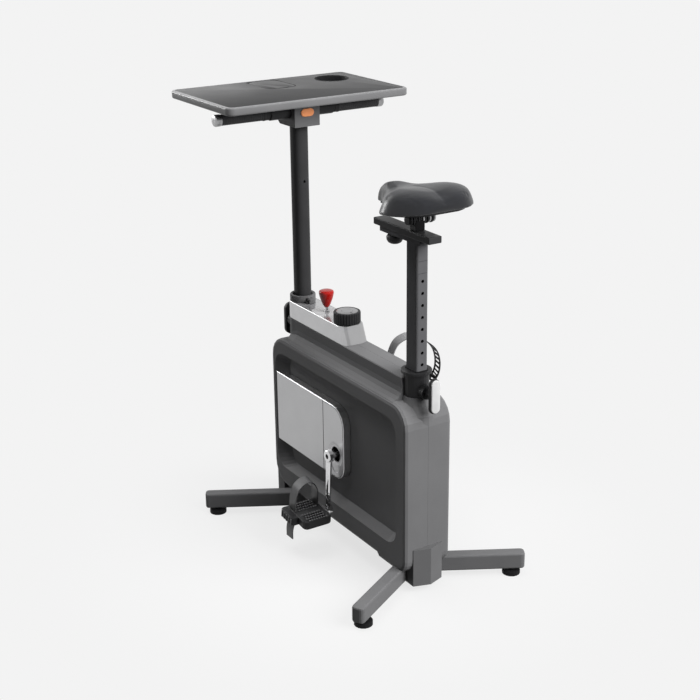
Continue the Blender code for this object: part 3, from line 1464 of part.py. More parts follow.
def build_desk(mast):
    desk = pivot("pivot_desk", (0.0, BRACKET_REAR, DESK_UNDERSIDE), mast)
    plan = rounded_box(-DESK_HALF, DESK_HALF, DESK_REAR, DESK_FRONT, DESK_CORNER, 4)
    tray = prism("desk_tray", plan, DESK_UNDERSIDE, DESK_TOP)
    bevel(tray, DESK_EDGE, 2, 60)
    runner_top = DESK_UNDERSIDE + 0.001
    plate_low = PLATE_TOP - BRACKET_PLATE
    web = FLANGE_HALF + GAP
    lip_top = plate_low - GAP
    runners = []
    for side in (-1, 1):
        outline = [
            (side * web, runner_top),
            (side * web, lip_top),
            (side * (web - RUNNER_LIP), lip_top),
            (side * (web - RUNNER_LIP), lip_top - RUNNER_WALL),
            (side * (web + RUNNER_WALL), lip_top - RUNNER_WALL),
            (side * (web + RUNNER_WALL), runner_top),
        ]
        runners.append(prism("runner", outline, RUNNER_REAR, RUNNER_FRONT, "Y"))
    join(tray, *runners)
    margin = MAT_MARGIN
    mat_plan = rounded_box(
        -DESK_HALF + margin,
        DESK_HALF - margin,
        DESK_REAR + margin,
        DESK_FRONT - margin,
        DESK_CORNER - margin,
    )
    mat_recess = prism("mat_recess", mat_plan, MAT_FLOOR, DESK_TOP + 0.01)
    cup_place = (CUP_X, CUP_Y, 0.0)
    pin_low = FLAP_LEFT - FLAP_PIN_REACH - GAP
    pin_high = FLAP_RIGHT + FLAP_PIN_REACH + GAP
    hinge = (0.0, FLAP_HINGE_Y, FLAP_HINGE_Z)
    flap_floor = DESK_TOP - FLAP_THICKNESS - GAP
    cut(tray, mat_recess)
    cut(
        tray,
        cylinder("cup_hole", CUP_RADIUS + GAP, 1.1, 1.2, cup_place, steps=28),
        prism("flap_pocket", flap_outline(GAP, SLOT_FRONT), flap_floor, DESK_TOP + 0.01),
        box(
            "hinge_groove",
            (FLAP_LEFT - GAP, FLAP_HINGE_Y - 0.005, DESK_TOP - SLOT_DEPTH),
            (FLAP_RIGHT + GAP, SLOT_FRONT, DESK_TOP + 0.01),
        ),
        cylinder("pin_bore", FLAP_PIN + GAP, pin_low, pin_high, hinge, "X", 8),
    )
    finish(tray, DESK_PLASTIC, desk)

    small = margin + GAP
    mat_plan = rounded_box(
        -DESK_HALF + small,
        DESK_HALF - small,
        DESK_REAR + small,
        DESK_FRONT - small,
        DESK_CORNER - small,
    )
    mat = prism("desk_mat", mat_plan, MAT_FLOOR + GAP, DESK_TOP)
    cut(
        mat,
        cylinder("cup_hole", CUP_RADIUS + GAP, 1.1, 1.2, cup_place, steps=28),
        prism("window", flap_outline(GAP, SLOT_FRONT), 1.1, 1.2),
    )
    finish(mat, MAT_PLASTIC, desk)

    rim_low = DESK_TOP + GAP
    rim_top = rim_low + CUP_RIM_THICKNESS
    cup_bottom = DESK_TOP - CUP_DEPTH
    cup = [
        (CUP_RADIUS - CUP_WALL, rim_top),
        (CUP_RIM, rim_top),
        (CUP_RIM, rim_low),
        (CUP_RADIUS, rim_low),
        (CUP_RADIUS, cup_bottom),
        (0.0, cup_bottom),
    ]
    cup_solid = turned("cup_holder", [(0.0, rim_top)] + cup[1:], cup_place, steps=28)
    cut(cup_solid, cylinder("inside", CUP_RADIUS - CUP_WALL, cup_bottom + CUP_WALL, 1.2, cup_place, steps=28))
    finish(cup_solid, BLACK_RUBBER, desk)

    flap = prism("tablet_flap", flap_outline(), DESK_TOP - FLAP_THICKNESS, DESK_TOP)
    notch = box("notch", (0.017, FLAP_REAR - 0.01, DESK_TOP - 0.01), (0.026, FLAP_REAR + FLAP_NOTCH, DESK_TOP + 0.01))
    barrel = cylinder("barrel", FLAP_BARREL, FLAP_LEFT, FLAP_RIGHT, hinge, "X", 12)
    pin = cylinder("pin", FLAP_PIN, pin_low + GAP, pin_high - GAP, hinge, "X", 8)
    cut(flap, notch)
    join(flap, barrel)
    join(flap, pin)
    finish(flap, MAT_PLASTIC, pivot("pivot_tablet_flap", hinge, desk))


# Clamp levers
def lever_hub(name, low, high, height, keep_out_y, keep_out_radius):
    # A round boss on a round wall, bored for the lever's shank.
    hub = cylinder(name, SEAT_HUB_RADIUS, low, high, (0.0, 0.0, height), "Y", 20)
    clear_radius = keep_out_radius / math.cos(math.pi / FACETS)
    return cut(
        hub,
        cylinder("wall", clear_radius, height - 0.1, height + 0.1, (0.0, keep_out_y, 0.0), steps=FACETS),
        cylinder("bore", SHANK_RADIUS + BORE_FIT, low - 0.05, high + 0.05, (0.0, 0.0, height), "Y", 12),
    )


def build_levers():
    hub = lever_hub(
        "mast_lever_hub",
        MAST_Y + SPINE_HALF - 0.012,
        MAST_LEVER_REAR - 0.006,
        MAST_LEVER_Z,
        MAST_Y,
        SPINE_HALF + GAP,
    )
    finish(hub, BLACK_STEEL)
    plan = stadium(MAST_LEVER_HALF, MAST_LEVER_Z - MAST_LEVER_REACH, MAST_LEVER_Z + MAST_LEVER_REACH)
    lever = prism("mast_lever", plan, MAST_LEVER_REAR, MAST_LEVER_FRONT, "Y")
    bevel(lever, LEVER_EDGE, 2, 60)
    place = (0.0, 0.0, MAST_LEVER_Z)
    shank_end = MAST_Y + MAST_DEPTH / 2 + GAP
    stem_low = MAST_LEVER_REAR - 0.006 + GAP
    join(lever, cylinder("stem", LEVER_STEM_RADIUS, stem_low, MAST_LEVER_REAR + 0.002, place, "Y", 16))
    join(lever, cylinder("shank", SHANK_RADIUS, shank_end, MAST_LEVER_REAR, place, "Y", 12))
    finish(lever, LEVER_PLASTIC, pivot("pivot_mast_lever", (0.0, MAST_LEVER_FRONT, MAST_LEVER_Z)))

    socket = turned(
        "seat_socket",
        [
            (0.0, SOCKET_TOP),
            (FLANGE_RADIUS - 0.001, SOCKET_TOP),
            (FLANGE_RADIUS, SOCKET_TOP - 0.001),
            (FLANGE_RADIUS, SOCKET_TOP - FLANGE_THICKNESS),
            (SOCKET_RADIUS, SOCKET_TOP - FLANGE_THICKNESS - 0.001),
            (SOCKET_RADIUS, SOCKET_BOTTOM + GAP * 2),
            (0.0, SOCKET_BOTTOM + GAP * 2),
        ],
        (0.0, SEAT_Y, 0.0),
    )
    place = (0.0, 0.0, SEAT_LEVER_Z)
    cut(
        socket,
        prism("post_bore", post_outline(BORE_FIT), 0.5, 0.6),
        cylinder("shank_bore", SHANK_RADIUS + BORE_FIT, SEAT_Y - 0.05, SEAT_Y, place, "Y", 12),
    )
    finish(socket, BODY_PLASTIC)
    hub = lever_hub(
        "seat_lever_hub", SEAT_HUB_REAR, SEAT_Y - 0.020, SEAT_LEVER_Z, SEAT_Y, SOCKET_RADIUS + GAP
    )
    finish(hub, BLACK_STEEL)
    plan = stadium(SEAT_LEVER_HALF, SEAT_LEVER_Z - SEAT_LEVER_REACH, SEAT_LEVER_Z + SEAT_LEVER_REACH)
    lever = prism("seat_lever", plan, SEAT_LEVER_REAR, SEAT_LEVER_FRONT, "Y")
    bevel(lever, LEVER_EDGE, 2, 60)
    stem_high = SEAT_HUB_REAR - GAP
    join(lever, cylinder("stem", LEVER_STEM_RADIUS, SEAT_LEVER_FRONT - 0.002, stem_high, place, "Y", 16))
    shank_end = SEAT_Y - POST_DEPTH / 2 - GAP
    join(lever, cylinder("shank", SHANK_RADIUS, SEAT_LEVER_FRONT, shank_end, place, "Y", 12))
    finish(lever, LEVER_PLASTIC, pivot("pivot_seat_lever", (0.0, SEAT_LEVER_REAR, SEAT_LEVER_Z)))


# Seat post, slide and saddle
def saddle_bottom(y):
    return SADDLE_NOSE_BOTTOM + (SADDLE_NOSE - y) * SADDLE_BOTTOM_SLOPE


# Stations along the saddle: y, half width and the height of its crown over the base
SADDLE_STATIONS = [
    (-0.1500, 0.0100, 0.022),
    (-0.1540, 0.0180, 0.035),
    (-0.1680, 0.0235, 0.046),
    (-0.1900, 0.0285, 0.052),
    (-0.2180, 0.0355, 0.055),
    (-0.2500, 0.0500, 0.056),
    (-0.2850, 0.0800, 0.058),
    (-0.3200, 0.1090, 0.060),
    (-0.3520, 0.1210, 0.058),
    (-0.3800, 0.1150, 0.051),
    (-0.4000, 0.0930, 0.040),
    (-0.4110, 0.0600, 0.025),
]
# Half a cross-section: share of the half width and share of the crown
SADDLE_SECTION = [
    (0.93, 0.0),
    (0.99, 0.0),
    (1.0, 0.06),
    (1.0, 0.46),
    (0.93, 0.80),
    (0.68, 1.01),
    (0.28, 1.02),
]
GROOVE_START = -0.29
GROOVE_DEPTH = 0.16


def saddle_ring(y, half, crown):
    bottom = saddle_bottom(y)
    dip = GROOVE_DEPTH if y < GROOVE_START else 0.0
    side = [(half * a, bottom + crown * b) for a, b in SADDLE_SECTION]
    right = [Vector((x, y, z)) for x, z in side]
    left = [Vector((-x, y, z)) for x, z in reversed(side)]
    top = [Vector((0.0, y, bottom + crown * (1.03 - dip)))]
    return [Vector((0.0, y, bottom))] + right + top + left


def build_saddle(tilt):
    pad = loft("saddle_pad", [saddle_ring(*station) for station in SADDLE_STATIONS])
    smooth = pad.modifiers.new("soft", "SUBSURF")
    smooth.levels = 1
    smooth.render_levels = 1
    bake(pad)
    finish(pad, SADDLE_COVER, tilt)

    rings = []
    for drop in (GAP * 2, SHELL_THICKNESS):
        outline = []
        for sign in (1, -1):
            stations = SADDLE_STATIONS if sign == 1 else list(reversed(SADDLE_STATIONS))
            for y, half, crown in stations[1:-1]:
                reach = sign * max(half * 0.90 - SHELL_INSET, 0.004)
                outline.append(Vector((reach, y, saddle_bottom(y) - drop)))
        rings.append(outline)
    shell = loft("saddle_shell", rings)
    lugs = []
    for side in (-1, 1):
        near, far = sorted((side * (CLAMP_HALF + GAP), side * (CLAMP_HALF + GAP + LUG_THICKNESS)))
        outline = arc(SEAT_Y, SADDLE_PIVOT_Z, LUG_HALF, math.pi, math.pi * 2, 8)
        top = saddle_bottom(SEAT_Y) - SHELL_THICKNESS + 0.002
        outline += [(SEAT_Y + LUG_HALF, top), (SEAT_Y - LUG_HALF, top)]
        lugs.append(prism("lug", outline, near, far, "X"))
    join(shell, *lugs)
    finish(shell, BLACK_RUBBER, tilt)


def build_seat():
    post = pivot("pivot_seat_post", (0.0, SEAT_Y, POST_BOTTOM))
    tube = prism("seat_post", post_outline(), POST_BOTTOM, POST_TOP)
    channel = box(
        "channel",
        (-CHANNEL_HALF, CHANNEL_REAR, POST_TOP - 0.002),
        (CHANNEL_HALF, CHANNEL_FRONT, CHANNEL_TOP),
    )
    join(tube, channel)
    rear_face = SEAT_Y - POST_DEPTH / 2
    holes = [
        cylinder(
            "hole",
            POST_HOLE_RADIUS,
            rear_face - 0.01,
            rear_face + POST_WALL + 0.002,
            (0.0, 0.0, POST_HOLE_LOW + POST_HOLE_PITCH * index),
            "Y",
            10,
        )
        for index in range(POST_HOLES)
    ]
    slide_bore = SHANK_RADIUS + BORE_FIT
    cut(
        tube,
        prism("inside", post_outline(-POST_WALL), POST_BOTTOM - 0.01, POST_TOP - POST_WALL),
        cylinder("knob_bore", slide_bore, 0.87, 0.90, (0.0, SLIDER_Y, 0.0), steps=16),
        *holes,
    )
    finish(tube, BLACK_STEEL, post)

    beam_bottom = CHANNEL_TOP + GAP
    slide = pivot("pivot_seat_beam", (0.0, SEAT_Y, beam_bottom), post)
    beam = box("seat_beam", (-BEAM_HALF, BEAM_REAR, beam_bottom), (BEAM_HALF, BEAM_FRONT, BEAM_TOP))
    bevel(beam, BEAM_EDGE, 2)
    finish(beam, BLACK_STEEL, slide)
    turn = pivot("pivot_slider_knob", (0.0, SLIDER_Y, SLIDER_BOTTOM), post)
    shank_top = CHANNEL_TOP - GAP
    knob = turned(
        "slider_knob",
        [
            (0.0, shank_top),
            (SHANK_RADIUS, shank_top),
            (SHANK_RADIUS, POST_TOP - 0.002 - GAP),
            (0.009, POST_TOP - 0.002 - GAP),
            (0.010, SLIDER_TOP),
            (SLIDER_RADIUS - 0.0020, SLIDER_TOP),
            (SLIDER_RADIUS, SLIDER_TOP - 0.004),
            (SLIDER_RADIUS - 0.0008, SLIDER_BOTTOM + 0.009),
            (SLIDER_RADIUS - 0.0045, SLIDER_BOTTOM + 0.003),
            (SLIDER_RADIUS - 0.0100, SLIDER_BOTTOM),
            (0.0, SLIDER_BOTTOM),
        ],
        (0.0, SLIDER_Y, 0.0),
        steps=20,
    )
    finish(knob, BLACK_RUBBER, turn)

    stem_low = BEAM_TOP + GAP
    stem = box(
        "saddle_clamp",
        (-CLAMP_STEM_HALF, SEAT_Y - CLAMP_STEM_HALF, stem_low),
        (CLAMP_STEM_HALF, SEAT_Y + CLAMP_STEM_HALF, SADDLE_PIVOT_Z),
    )
    bevel(stem, 0.002, 1)
    pivot_place = (0.0, SEAT_Y, SADDLE_PIVOT_Z)
    join(stem, cylinder("barrel", CLAMP_RADIUS, -CLAMP_HALF, CLAMP_HALF, pivot_place, "X", 16))
    finish(stem, BLACK_STEEL, slide)
    build_saddle(pivot("pivot_saddle", pivot_place, slide))


build_stand()
build_housing()
build_panels()
build_console()
build_controls()
build_frame()
build_crankset()
build_drive()
build_desk(build_mast())
build_levers()
build_seat()
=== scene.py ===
import json
import math

import bmesh
import bpy
from mathutils import Matrix, Vector


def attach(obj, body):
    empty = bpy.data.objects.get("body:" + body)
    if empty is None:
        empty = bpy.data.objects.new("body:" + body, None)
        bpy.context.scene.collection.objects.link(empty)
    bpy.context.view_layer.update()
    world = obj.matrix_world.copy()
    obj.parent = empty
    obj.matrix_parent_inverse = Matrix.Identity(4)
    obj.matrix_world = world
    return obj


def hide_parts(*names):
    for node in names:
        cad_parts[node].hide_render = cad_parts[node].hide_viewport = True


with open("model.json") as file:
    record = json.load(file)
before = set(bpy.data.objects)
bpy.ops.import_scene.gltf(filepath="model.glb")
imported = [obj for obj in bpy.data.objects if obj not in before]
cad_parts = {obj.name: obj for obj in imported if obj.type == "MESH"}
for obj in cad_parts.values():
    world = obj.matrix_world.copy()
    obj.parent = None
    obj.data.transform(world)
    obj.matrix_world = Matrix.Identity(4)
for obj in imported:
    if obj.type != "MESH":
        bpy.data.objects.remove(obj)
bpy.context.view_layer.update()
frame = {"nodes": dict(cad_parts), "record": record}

# Desk exercise bike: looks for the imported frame, in metres, +Y forward and +X to the rider's right
nodes = frame["nodes"]
millimetre = 0.001
print("frame loaded:", len(nodes), "nodes")

# Camera: the photograph's own place, turn and lens
photoCamera = {
    "place": (-1.7128, -2.7598, 1.7317),
    "target": (0.0, -0.007, 0.5246),
    "roll": math.radians(-0.7),
    "lens": 69.29,
    "sensor": 36.0,
}


def setCamera(settings):
    place = Vector(settings["place"])
    back = (place - Vector(settings["target"])).normalized()
    right = Vector((0, 0, 1)).cross(back).normalized()
    up = back.cross(right)
    turn = settings["roll"]
    tiltedRight = right * math.cos(turn) + up * math.sin(turn)
    tiltedUp = up * math.cos(turn) - right * math.sin(turn)
    lens = bpy.data.cameras.new("photoCamera")
    lens.lens = settings["lens"]
    lens.sensor_width = settings["sensor"]
    lens.clip_end = 60.0
    camera = bpy.data.objects.new("photoCamera", lens)
    bpy.context.scene.collection.objects.link(camera)
    camera.matrix_world = Matrix((
        (tiltedRight.x, tiltedUp.x, back.x, place.x),
        (tiltedRight.y, tiltedUp.y, back.y, place.y),
        (tiltedRight.z, tiltedUp.z, back.z, place.z),
        (0, 0, 0, 1),
    ))
    bpy.context.scene.camera = camera


setCamera(photoCamera)
bpy.context.scene.view_settings.view_transform = "Standard"


def linearColour(hexCode):
    # sRGB hex to the linear values that the shaders take
    shares = [int(hexCode[start:start + 2], 16) / 255 for start in (1, 3, 5)]
    return tuple(s / 12.92 if s <= 0.04045 else ((s + 0.055) / 1.055) ** 2.4 for s in shares) + (1.0,)


def addNode(tree, kind, inputs=None, **settings):
    # a node with its settings, and its sockets given a value or a link
    node = tree.nodes.new("ShaderNode" + kind)
    for name, value in settings.items():
        setattr(node, name, value)
    for name, value in (inputs or {}).items():
        if isinstance(value, bpy.types.NodeSocket):
            tree.links.new(value, node.inputs[name])
        else:
            node.inputs[name].default_value = value
    return node


# Light: a broad key lamp behind on the right, a soft one above, weak ones in front, at the desk and on the
# left, and a rim lamp that only shows as a reflection on the saddle's nose
studio = {
    "backdrop": "#f3f3f3",
    "skyStrength": 0.05,
    "aim": (0.0, 0.0, 0.55),
    "hiddenInGloss": ("keyLamp", "topLamp", "sideLamp"),
    "onlyInGloss": ("rimLamp",),
    # name, place, size and power in watts
    "lamps": [
        ("keyLamp", (1.75, -3.7, 3.0), 3.6, 410.0),
        ("topLamp", (-0.45, 0.3, 4.1), 2.4, 125.0),
        ("farLamp", (-0.8, 2.8, 2.0), 2.2, 30.0),
        ("deskLamp", (0.22, 1.5, 1.42), 0.5, 0.45),
        ("sideLamp", (-3.2, 0.6, 0.6), 2.4, 1.0),
        ("rimLamp", (-1.5, 2.8, 1.5), 0.9, 30.0),
    ],
    "floorRadius": 9.0,
    "floorHeight": -0.0005,
    "floorFade": (0.1, 0.9),
    "floorShare": (0.8, 1.0),
    "floorTones": (0.05, 0.72),
}


def seenDirectly(tree):
    # 1 for camera, glossy and transmission rays, 0 for the light that a surface throws on others
    rays = addNode(tree, "LightPath").outputs
    seen = rays["Is Camera Ray"]
    for kind in ("Is Glossy Ray", "Is Transmission Ray"):
        seen = addNode(tree, "Math", {0: seen, 1: rays[kind]}, operation="MAXIMUM").outputs[0]
    return seen


def lightStudio(settings):
    scene = bpy.context.scene
    world = bpy.data.worlds.new("paleStudio")
    scene.world = world
    world.use_nodes = True
    tree = world.node_tree
    tree.nodes.clear()
    shown = seenDirectly(tree)
    sky = addNode(tree, "Background", {"Color": (1, 1, 1, 1), "Strength": settings["skyStrength"]})
    backdrop = addNode(tree, "Background", {"Color": linearColour(settings["backdrop"]), "Strength": 1.0})
    mix = addNode(tree, "MixShader", {0: shown, 1: sky.outputs[0], 2: backdrop.outputs[0]})
    addNode(tree, "OutputWorld", {"Surface": mix.outputs[0]})
    for name, place, size, power in settings["lamps"]:
        lamp = bpy.data.lights.new(name, "AREA")
        lamp.size = size
        lamp.energy = power
        holder = bpy.data.objects.new(name, lamp)
        scene.collection.objects.link(holder)
        aim = Vector(settings["aim"]) - Vector(place)
        holder.location = place
        holder.rotation_euler = aim.to_track_quat("-Z", "Y").to_euler()
        holder.visible_camera = False
        # the broad ones are left out of reflections, so that bare metal doesn't burn out
        holder.visible_glossy = name not in settings["hiddenInGloss"]
        holder.visible_diffuse = name not in settings["onlyInGloss"]


def layFloor(settings):
    bpy.ops.object.select_all(action="DESELECT")
    low = settings["floorHeight"]
    bpy.ops.mesh.primitive_circle_add(
        vertices=96, radius=settings["floorRadius"], fill_type="NGON", location=(0, 0, low),
    )
    floor = bpy.context.object
    floor.name = "paperFloor"
    bpy.ops.object.transform_apply()
    paper = bpy.data.materials.new("matPaper")
    paper.use_nodes = True
    tree = paper.node_tree
    tree.nodes.clear()
    shown = seenDirectly(tree)
    place = addNode(tree, "TexCoord")
    reach = addNode(tree, "VectorMath", {0: place.outputs["Object"]}, operation="LENGTH")
    # mostly backdrop colour under the bike and all of it from 0.9 m out, so no horizon shows
    near, far = settings["floorFade"]
    least, most = settings["floorShare"]
    fade = addNode(
        tree, "MapRange",
        {"Value": reach.outputs["Value"], "From Min": near, "From Max": far, "To Min": least, "To Max": most},
        interpolation_type="SMOOTHSTEP",
    )
    share = addNode(tree, "Math", {0: fade.outputs[0], 1: shown}, operation="MULTIPLY")
    # pale for the eye, dark for the light that it would throw up at the bike's sides
    dark, pale = settings["floorTones"]
    tone = addNode(tree, "Mix", {"Factor": shown, "A": dark, "B": pale})
    lit = addNode(tree, "BsdfDiffuse", {"Color": tone.outputs["Result"]})
    plain = addNode(tree, "Emission", {"Color": linearColour(settings["backdrop"]), "Strength": 1.0})
    mix = addNode(tree, "MixShader", {0: share.outputs[0], 1: lit.outputs[0], 2: plain.outputs[0]})
    addNode(tree, "OutputMaterial", {"Surface": mix.outputs[0]})
    floor.data.materials.append(paper)


lightStudio(studio)
layFloor(studio)
print("studio ready")


# Finishes
def newFinish(settings):
    # colour drifts between two hex values, roughness follows it, and a grain of a real size lies on top
    finish = bpy.data.materials.new(settings["name"])
    finish.use_nodes = True
    tree = finish.node_tree
    shader = tree.nodes["Principled BSDF"]
    place = addNode(tree, "TexCoord").outputs["Object"]
    drift = addNode(
        tree, "TexNoise",
        {"Vector": place, "Scale": 1 / (settings["drift"] * millimetre), "Detail": 4.0},
    )
    ramp = addNode(tree, "ValToRGB", {"Fac": drift.outputs["Fac"]})
    ramp.color_ramp.elements[0].position = 0.35
    ramp.color_ramp.elements[0].color = linearColour(settings["dark"])
    ramp.color_ramp.elements[1].position = 0.65
    ramp.color_ramp.elements[1].color = linearColour(settings["light"])
    colour = ramp.outputs["Color"]
    if "fade" in settings:
        # painted shade: the colour turns to a second, darker one along the object's X, in metres
        start, end, second = settings["fade"]
        along = addNode(tree, "SeparateXYZ", {"Vector": place})
        share = addNode(tree, "MapRange", {"Value": along.outputs["X"], "From Min": start, "From Max": end})
        both = {"Factor": share.outputs[0], 6: colour, 7: linearColour(second)}
        paintedShadeBlend = addNode(tree, "Mix", both, data_type="RGBA")
        colour = paintedShadeBlend.outputs[2]
    tree.links.new(colour, shader.inputs["Base Color"])
    rough = addNode(
        tree, "MapRange",
        {
            "Value": drift.outputs["Fac"], "From Min": 0.3, "From Max": 0.7,
            "To Min": settings["rough"][0], "To Max": settings["rough"][1],
        },
    )
    tree.links.new(rough.outputs[0], shader.inputs["Roughness"])
    shader.inputs["Metallic"].default_value = settings.get("metallic", 0.0)
    if not settings.get("metallic", 0.0):
        shader.inputs["IOR"].default_value = settings["ior"]
    if "specular" in settings:
        shader.inputs["Specular IOR Level"].default_value = settings["specular"]
    if "coat" in settings:
        shader.inputs["Coat Weight"].default_value = settings["coat"]
        shader.inputs["Coat Roughness"].default_value = 0.08
    grain = addNode(
        tree, "TexNoise",
        {"Vector": place, "Scale": 1 / (settings["grain"] * millimetre), "Detail": 2.0},
    )
    bump = addNode(
        tree, "Bump",
        {
            "Height": grain.outputs["Fac"], "Strength": settings["relief"],
            "Distance": settings["grain"] * millimetre * 0.3,
        },
    )
    tree.links.new(bump.outputs["Normal"], shader.inputs["Normal"])
    return finish


# drift and grain are sizes in millimetres, and rough holds the least and the most roughness
looks = {
    # ABS moulded in a spark-eroded tool: even charcoal satin with a fine grain, drawn 1.2 mm to show
    "charcoal_plastic": {
        "name": "mouldedAbs", "dark": "#6a6a6b", "light": "#6d6d6e", "drift": 90, "rough": (0.40, 0.48),
        "ior": 1.53, "specular": 0.05, "grain": 1.2, "relief": 0.22,
    },
    # silver lacquer with flake over ABS: a soft metal glow
    "silver_plastic": {
        "name": "silverLacquer", "dark": "#a8a8a9", "light": "#acacad", "drift": 60,
        "rough": (0.36, 0.42), "metallic": 1.0, "grain": 0.9, "relief": 0.14,
    },
    # brushed aluminium belt, anodised clear
    "brushed_belt": {
        "name": "brushedAluminium", "dark": "#b4b4b5", "light": "#b8b8b9", "drift": 30,
        "rough": (0.3, 0.36), "metallic": 1.0, "grain": 0.8, "relief": 0.1,
    },
    # cast acrylic deck: smoked and mirror-like
    "glossy_deck": {
        "name": "castAcrylic", "dark": "#a2a2a4", "light": "#a6a6a8", "drift": 80,
        "rough": (0.04, 0.07), "ior": 1.49, "coat": 1.0, "grain": 20, "relief": 0.01,
    },
    # steel tube under black powder coat: satin with a slight orange peel of 1.6 mm
    "black_steel": {
        "name": "blackPowderCoat", "dark": "#353536", "light": "#39393a", "drift": 70,
        "rough": (0.28, 0.34), "ior": 1.5, "specular": 0.05, "grain": 1.6, "relief": 0.14,
    },
    # the same black coat on the post, painted a lighter grey all over as painted light for its lit rear face
    "lit_post_steel": {
        "name": "postPowderCoatPaintedLight", "dark": "#58585a", "light": "#5c5c5e", "drift": 70,
        "rough": (0.34, 0.4), "ior": 1.5, "specular": 0.02, "grain": 1.6, "relief": 0.14,
    },
    # tube and sheet under dark grey powder coat: satin, a little rougher than the black
    "grey_steel": {
        "name": "greyPowderCoat", "dark": "#646465", "light": "#686869", "drift": 70,
        "rough": (0.36, 0.44), "ior": 1.5, "specular": 0.06, "grain": 1.6, "relief": 0.16,
    },
    # chrome plate on a forged arm: bright, with the forging's long waves
    "chrome": {
        "name": "chromePlate", "dark": "#cfcfd0", "light": "#dadadb", "drift": 40,
        "rough": (0.08, 0.14), "metallic": 1.0, "grain": 9, "relief": 0.12,
    },
    # turned and ground steel
    "bright_steel": {
        "name": "groundSteel", "dark": "#a9a9aa", "light": "#b4b4b5", "drift": 12,
        "rough": (0.22, 0.32), "metallic": 1.0, "grain": 0.8, "relief": 0.15,
    },
    # moulded rubber: dull black with a soft bloom
    "black_rubber": {
        "name": "mouldedRubber", "dark": "#161617", "light": "#1a1a1b", "drift": 25,
        "rough": (0.6, 0.75), "ior": 1.52, "specular": 0.14, "grain": 1.0, "relief": 0.25,
    },
    # grip foam skin, rubbed greyer than the feet
    "grip_rubber": {
        "name": "gripRubber", "dark": "#3a3a3b", "light": "#404041", "drift": 25, "rough": (0.5, 0.65),
        "ior": 1.52, "specular": 0.14, "grain": 1.0, "relief": 0.25,
    },
    # soft PVC of the left strap, grey, with painted shade: it turns black along X on its inner leg
    "strap_polymer": {
        "name": "strapPvc", "dark": "#585859", "light": "#606061", "fade": (-0.150, -0.132, "#161617"),
        "drift": 25, "rough": (0.38, 0.5), "ior": 1.53, "specular": 0.3, "grain": 1.0, "relief": 0.2,
    },
    # the same PVC on the right strap, painted a lighter grey as painted light, with painted shade turning it
    # black along X on its outer bow
    "dark_strap": {
        "name": "strapPvcPaintedLightAndShade", "dark": "#8c8c8d", "light": "#949495", "fade": (0.158, 0.178, "#161617"),
        "drift": 25, "rough": (0.38, 0.5), "ior": 1.53, "specular": 0.2, "grain": 1.0, "relief": 0.2,
    },
    # glass-filled nylon: matt, slightly cloudy
    "black_plastic": {
        "name": "filledNylon", "dark": "#222223", "light": "#262627", "drift": 30, "rough": (0.38, 0.5),
        "ior": 1.53, "specular": 0.14, "grain": 1.1, "relief": 0.2,
    },
    # pedal nylon: greyer where it is rubbed
    "pedal_nylon": {
        "name": "pedalNylon", "dark": "#5c5c5d", "light": "#686869", "drift": 16, "rough": (0.42, 0.55),
        "ior": 1.53, "specular": 0.2, "grain": 1.1, "relief": 0.3,
    },
    # zinc-plated and tumbled: bolts, clamp teeth and lever edges
    "zinc": {
        "name": "zincPlate", "dark": "#9a9a9b", "light": "#a4a4a5", "drift": 9, "rough": (0.3, 0.4),
        "metallic": 1.0, "grain": 0.7, "relief": 0.15,
    },
    # polished ABS in red
    "red_plastic": {
        "name": "redAbs", "dark": "#9c100b", "light": "#a5130d", "drift": 30, "rough": (0.14, 0.2),
        "ior": 1.53, "coat": 0.1, "specular": 0.2, "grain": 8, "relief": 0.02,
    },
    # moulded ABS in orange: satin
    "orange_plastic": {
        "name": "orangeAbs", "dark": "#f39a63", "light": "#f8a06a", "drift": 20, "rough": (0.35, 0.42),
        "ior": 1.53, "grain": 1.0, "relief": 0.15,
    },
    # moulded acetal: pale, smooth and slightly waxy
    "pale_plastic": {
        "name": "paleAcetal", "dark": "#c0c0c0", "light": "#c8c8c8", "drift": 30, "rough": (0.28, 0.36),
        "ior": 1.48, "grain": 1.2, "relief": 0.1,
    },
    # ABS tray from a blasted mould: even grey satin
    "desk_plastic": {
        "name": "deskAbs", "dark": "#6e6e6f", "light": "#727273", "drift": 120, "rough": (0.28, 0.34),
        "ior": 1.53, "specular": 0.2, "grain": 1.2, "relief": 0.12,
    },
    # calendered PVC mat: black, with a soft sheen at a low angle
    "mat_plastic": {
        "name": "deskMat", "dark": "#1a1a1b", "light": "#1c1c1d", "drift": 60, "rough": (0.3, 0.34),
        "ior": 1.52, "specular": 0.12, "grain": 1.4, "relief": 0.2,
    },
    # embossed vinyl over foam: near black, with a broad soft highlight
    "saddle_cover": {
        "name": "saddleVinyl", "dark": "#131417", "light": "#16171b", "drift": 35,
        "rough": (0.28, 0.34), "ior": 1.5, "specular": 0.4, "grain": 1.6, "relief": 0.25,
    },
    # sand-cast iron: rough and grey
    "cast_iron": {
        "name": "castIron", "dark": "#4c4c4d", "light": "#5a5a5b", "drift": 15, "rough": (0.5, 0.65),
        "metallic": 1.0, "grain": 1.5, "relief": 0.5,
    },
}
finishes = {name: newFinish(look) for name, look in looks.items()}
slotOf = {part["node"]: part["material_slot"] for part in frame["record"]["subparts"]}
for name, holder in nodes.items():
    for place in holder.material_slots:
        place.material = finishes[slotOf[name]]
# nodes whose finish isn't the one of their slot
ownLooks = {
    # the post's lighter coat is painted light
    "console_trim": "brushed_belt", "seat_post": "lit_post_steel", "desk_bracket": "grey_steel",
    # the saddle clamp takes the darker rubber finish as painted shade under the saddle
    "seat_socket": "black_plastic", "saddle_clamp": "black_rubber",
}
for name, look in ownLooks.items():
    nodes[name].material_slots[0].material = finishes[look]
print("finishes on", len(slotOf), "nodes")


# Shared steps of modelling
def takeAlone(piece):
    bpy.ops.object.select_all(action="DESELECT")
    piece.select_set(True)
    bpy.context.view_layer.objects.active = piece


